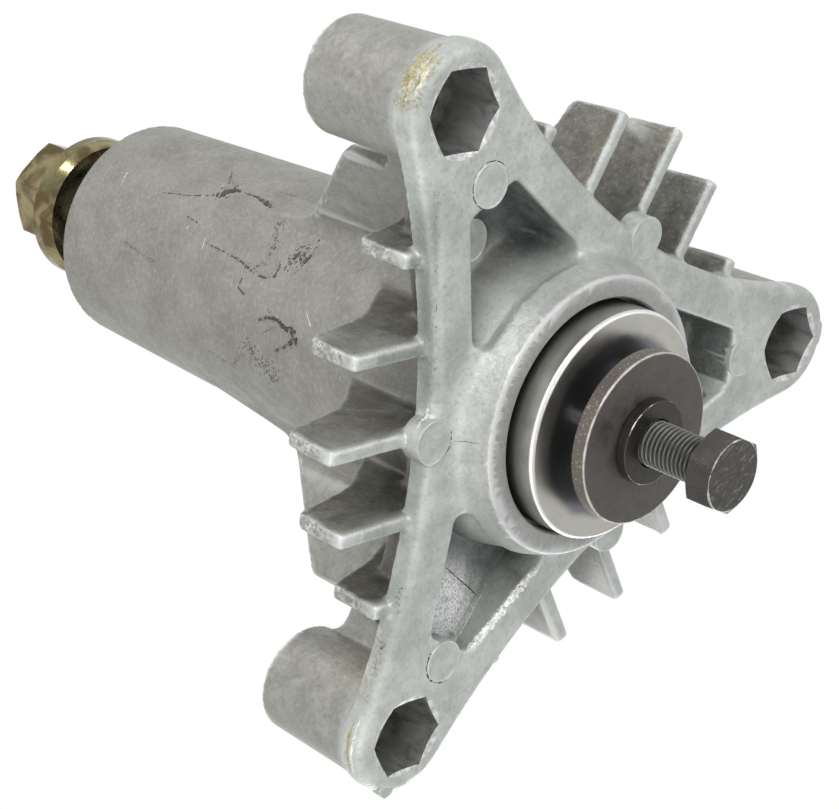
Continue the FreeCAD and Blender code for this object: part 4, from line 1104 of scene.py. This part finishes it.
def threaded_bolt():
    """The blade bolt with its rolled thread cut in, and both faces of its head chamfered."""
    angles = [HEAD_TURN + 2.5 * i for i in range(144)]
    slope = math.tan(math.radians(30))

    def flat_ring(reach, height):
        return [on_ray(a, reach, height) for a in angles]

    def chamfer_ring(height, sense):
        """The edge where a chamfer, cut back by sense, meets the head's sides."""
        return [on_ray(a, hex_reach(a) * 0.997, height + sense * (hex_reach(a) - HEAD_FLATS * 0.49) * slope)
                for a in angles]

    rings = [flat_ring(HEAD_FLATS * share, HEAD_FRONT) for share in (0.05, 0.2, 0.35, 0.49)]
    rings.append(chamfer_ring(HEAD_FRONT, 1))
    rings.append(chamfer_ring(HEAD_SEAT, -1))
    rings.append(flat_ring(HEAD_FLATS * 0.47, HEAD_SEAT))
    rings.append(flat_ring(BOLT_R + 0.5, HEAD_SEAT))
    rings.append(flat_ring(BOLT_R - 0.25, HEAD_SEAT + 0.35))
    start = HEAD_SEAT + 0.6
    rows_in_pitch = 9
    thread_depth = 0.56
    rows = int((SHANK_END - start) / (THREAD_PITCH / rows_in_pitch))
    for row in range(rows + 1):
        height = start + (SHANK_END - start) * row / rows
        fade = min(1.0, (height - start) / 1.4) * min(1.0, (SHANK_END - height) / 1.2 + 0.2)
        ring = []
        for a in angles:
            phase = (height / THREAD_PITCH - a / 360) % 1
            depth = thread_depth * (0.5 - 0.5 * math.cos(2 * math.pi * phase)) ** 0.8
            ring.append(on_ray(a, BOLT_R - 0.02 - depth * fade - 0.12 * (1 - fade), height))
        rings.append(ring)
    piece = grid_piece("threaded_bolt", rings)
    smooth(piece, 24)
    return piece


casting = soft_casting([casting_look(), socket_look(), mouth_look()])
skin = Skin(casting.data)
mark_form(skin)
mark_zones(skin)
smooth(casting, 38)
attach(casting, "housing")
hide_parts("housing")
skin_tree = BVHTree.FromObject(casting, bpy.context.evaluated_depsgraph_get())

# Pin marks, dirt, scratches and cracks
pad_metal = pad_look()
for number, place in enumerate(CORNER_MARKS + SIDE_MARKS + FLOOR_MARKS):
    pin_pad(number, place, 4.4 if place in SIDE_MARKS else 0.9, pad_metal)
pale_flash = flash_look("pale_flash", grey(0.72, 0.02))
sandy_flash = flash_look("sandy_flash", (0.42, 0.37, 0.22))
soot = flash_look("soot", (0.10, 0.095, 0.078), 0.0)
smudge = flash_look("smudge", (0.075, 0.07, 0.055), 0.0)
tar = flash_look("tar", (0.040, 0.037, 0.030), 0.0)
scratch = flash_look("scratch", grey(0.75, 0.03))
stain("neck_tar", on_neck(TAR), tar, 11, 1.2, 1.3, 0.93)
stain("neck_fine_lines", on_neck(FINE_LINES), smudge, 17, 1.4, 1.6, 0.75)
stain("neck_soot", on_neck(SOOT), soot, 12, 3.2, 1.5, 0.0)
stain("neck_scratches", on_neck(SCRATCHES), scratch, 13, 0.4, 1.0, 0.9)
stain("cracks", CRACKS, tar, 14, 0.3, 1.0, 1.0)
stain("seams", SEAMS, soot, 15, 1.0, 2.5, 0.25)
pad_gaps = ring_strokes(CORNER_MARKS[0], 4.62, 0.11, [(-40, 200)])
pad_gaps += ring_strokes(CORNER_MARKS[2], 4.66, 0.20, [(-75, 75), (110, 150)])
pad_gaps += ring_strokes(SIDE_MARKS[0], 4.6, 0.10, [(150, 260)])
pad_gaps += ring_strokes(SIDE_MARKS[2], 4.6, 0.10, [(190, 300)])
stain("pad_gaps", pad_gaps, tar, 16, 0.5, 1.2, 0.85)

# Flash along the lugs' rims and in the lowest pocket
top_bolt, right_bolt, low_bolt = BOLTS
rim_tab("lug_tab", right_bolt, 200, 223, 13.7, -29.6, -26.6, pad_metal)
pin_pad(9, beside(low_bolt, -39, 11.5, -30.7), 2.2, pad_metal, 1.8)
torn_ridge("lug_flash_1", arc(low_bolt, 12.6, 62, 0, -28.4), 0.4, 0.35, pale_flash, 3, (0.3, 0.3, 0.5))
torn_ridge("lug_flash_2", arc(low_bolt, 12.4, 58, 0, -27.4), 0.5, 0.3, sandy_flash, 4, (0.3, 0.3, 0.8))
torn_ridge("lug_flash_3", arc(top_bolt, 12.4, 100, 35, -28.0), 0.6, 0.4, sandy_flash, 5, (0.3, 0.3, 0.8))
torn_ridge("lug_flash_4", arc(top_bolt, 12.1, 92, 45, -26.8), 0.6, 0.45, sandy_flash, 6, (0.3, 0.3, 0.5))
torn_ridge("lug_flash_6", arc(top_bolt, 12.3, 88, 52, -29.2), 0.4, 0.5, sandy_flash, 8, (0.3, 0.6, 0.3))
torn_ridge("pocket_flash_1", [(19.0, -28.6, -30.7), (33.0, -30.6, -30.7), (42.6, -31.8, -30.7)], 0.25, 0.85,
           pale_flash, 9, (0.0, 0.5, -0.6))
torn_ridge("pocket_flash_2", [(23.0, -29.0, -30.0), (34.0, -30.5, -30.0), (42.0, -31.5, -30.0)], 0.45, 0.6,
           pale_flash, 10, (0.0, 1.0, -0.2))
torn_ridge("side_flash", [(28.6, 24.6, -29.0), (31.0, 23.6, -29.0), (33.6, 22.8, -29.6),
                          (35.4, 21.6, -30.6)], 0.7, 0.5, pale_flash, 18, (0.5, 0.5, -0.3))
stain("arm_specks", [[(48.5, -5.5, -29.0, 0.25), (53.0, -10.0, -28.8, 0.3)],
                     [(58.0, -15.0, -28.3, 0.3), (62.5, -18.5, -27.5, 0.5)]], soot, 19, 1.6, 1.6, 0.2)
torn_ridge("lug_flash_5", arc(right_bolt, 12.6, 190, 240, -28.6), 0.5, 0.3, pale_flash, 7, (-0.3, -0.3, 0.0))

# Shaft, bearings, washers, bolt and nut
dress(nodes["spindle_shaft"], turned_steel_look("turned_steel", 0.49, 0.09, 0.32, paint_disc_light=True))
ground = turned_steel_look("ground_steel", 0.6, 0.0, 0.2)
for side in ("lower", "upper"):
    dress(nodes[side + "_outer_race"], ground)
    dress(nodes[side + "_inner_race"], ground)
    dress(nodes[side + "_balls"], plain_look(side + "_ball", (0.7, 0.7, 0.7), 1.0, 0.12))
    dress(nodes[side + "_cage"], plain_look(side + "_cage", (0.45, 0.44, 0.4), 1.0, 0.4))
    for part in ("front_seal", "back_seal"):
        dress(nodes["%s_%s" % (side, part)], plain_look(side + part, (0.03, 0.03, 0.03), 0.0, 0.6))
dress(nodes["bearing_spacer"], turned_steel_look("tube_steel", 0.42, 0.05, 0.4))
washer_steel = dark_steel_look("dark_washer", 0.075, 0.5, (17.5, WASHER_RIM, 0.45), pitted=16.9)
dress(nodes["blade_washer"], washer_steel)
dress(nodes["lock_washer"], dark_steel_look("dark_lock_washer", 0.03, 0.35, (8.6, LOCK_RIM, 0.16)))
bolt = threaded_bolt()
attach(bolt, "spindle")
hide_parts("blade_bolt")
dress(bolt, dark_steel_look("dark_bolt", 0.045, 0.40, (7.15, HEAD_FRONT + 0.15, 0.17), bolt=True))
zinc = zinc_look()
dress(nodes["pulley_cup_washer"], zinc)
dress(nodes["pulley_nut"], zinc)


# Studio: a pale floor well below, an even white room and soft lamps

MIDDLE = Vector((0, 0, 0.02))


def white_world(level):
    world = bpy.data.worlds.new("studio")
    bpy.context.scene.world = world
    world.use_nodes = True
    tree = Tree(world.node_tree)
    tree.tree.nodes.clear()
    output = tree.tree.nodes.new("ShaderNodeOutputWorld")
    dim = tree.add("ShaderNodeBackground", {"Color": (0.95, 0.98, 1.0), "Strength": level})
    white = tree.add("ShaderNodeBackground", {"Color": (1.0, 1.0, 1.0)})
    tree.show_white(output.inputs[0], dim[0], white[0])


def pale_floor(height, width):
    mesh = bpy.data.meshes.new("floor")
    rework(mesh, [], lambda work: bmesh.ops.create_grid(work, x_segments=4, y_segments=4, size=width / 2))
    floor = placed("floor", mesh)
    floor.location.z = height
    look = Look("pale_floor", roughness=0.9)
    matt = look.shader.outputs[0]
    look.feed(look.shader.inputs["Base Color"], (0.85, 0.85, 0.85))
    lift = look.add("ShaderNodeEmission", {"Strength": 0.45})
    both = look.add("ShaderNodeAddShader", {0: matt, 1: lift[0]})
    look.show_white(look.tree.nodes["Material Output"].inputs[0], matt, both[0])
    mesh.materials.append(look.material)


def lamp(name, place, width, power):
    """A square soft box aimed at the middle of the part."""
    light = bpy.data.lights.new(name, "AREA")
    light.size = width
    light.energy = power
    item = placed(name, light)
    item.location = place
    item.rotation_euler = (MIDDLE - Vector(place)).to_track_quat("-Z", "Y").to_euler()


def photo_camera():
    data = bpy.data.cameras.new("camera")
    data.sensor_width = 36.0
    data.lens = 98.138
    data.shift_y = 0.0933
    data.clip_start = 0.01
    item = placed("camera", data)
    item.location = (0.203867, 0.299169, -0.307843)
    item.rotation_euler = [math.radians(v) for v in (-27.20438, 136.22404, 23.28847)]
    bpy.context.scene.camera = item
    return item


def seen_from(across, rise, near):
    """A place given by the photograph's right, up and towards-the-viewer directions, in metres."""
    right, up, back = camera.rotation_euler.to_matrix().col
    return tuple(MIDDLE + right * across + up * rise + back * near)


camera = photo_camera()
white_world(0.4)
pale_floor(-1.3, 12.0)
lamp("key", seen_from(-0.2, 0.35, 0.95), 0.6, 6.3)
lamp("glint", seen_from(-0.5, 0.85, 0.42), 0.14, 2.2)
lamp("side", seen_from(0.9, 0.25, 0.5), 0.7, 2.5)
lamp("low", seen_from(-0.3, -0.8, 0.6), 0.8, 3.4)
lamp("rear", tuple(-c for c in seen_from(-0.1, 0.7, 0.7)), 0.9, 5.0)

bpy.context.scene.view_settings.view_transform = "Standard"
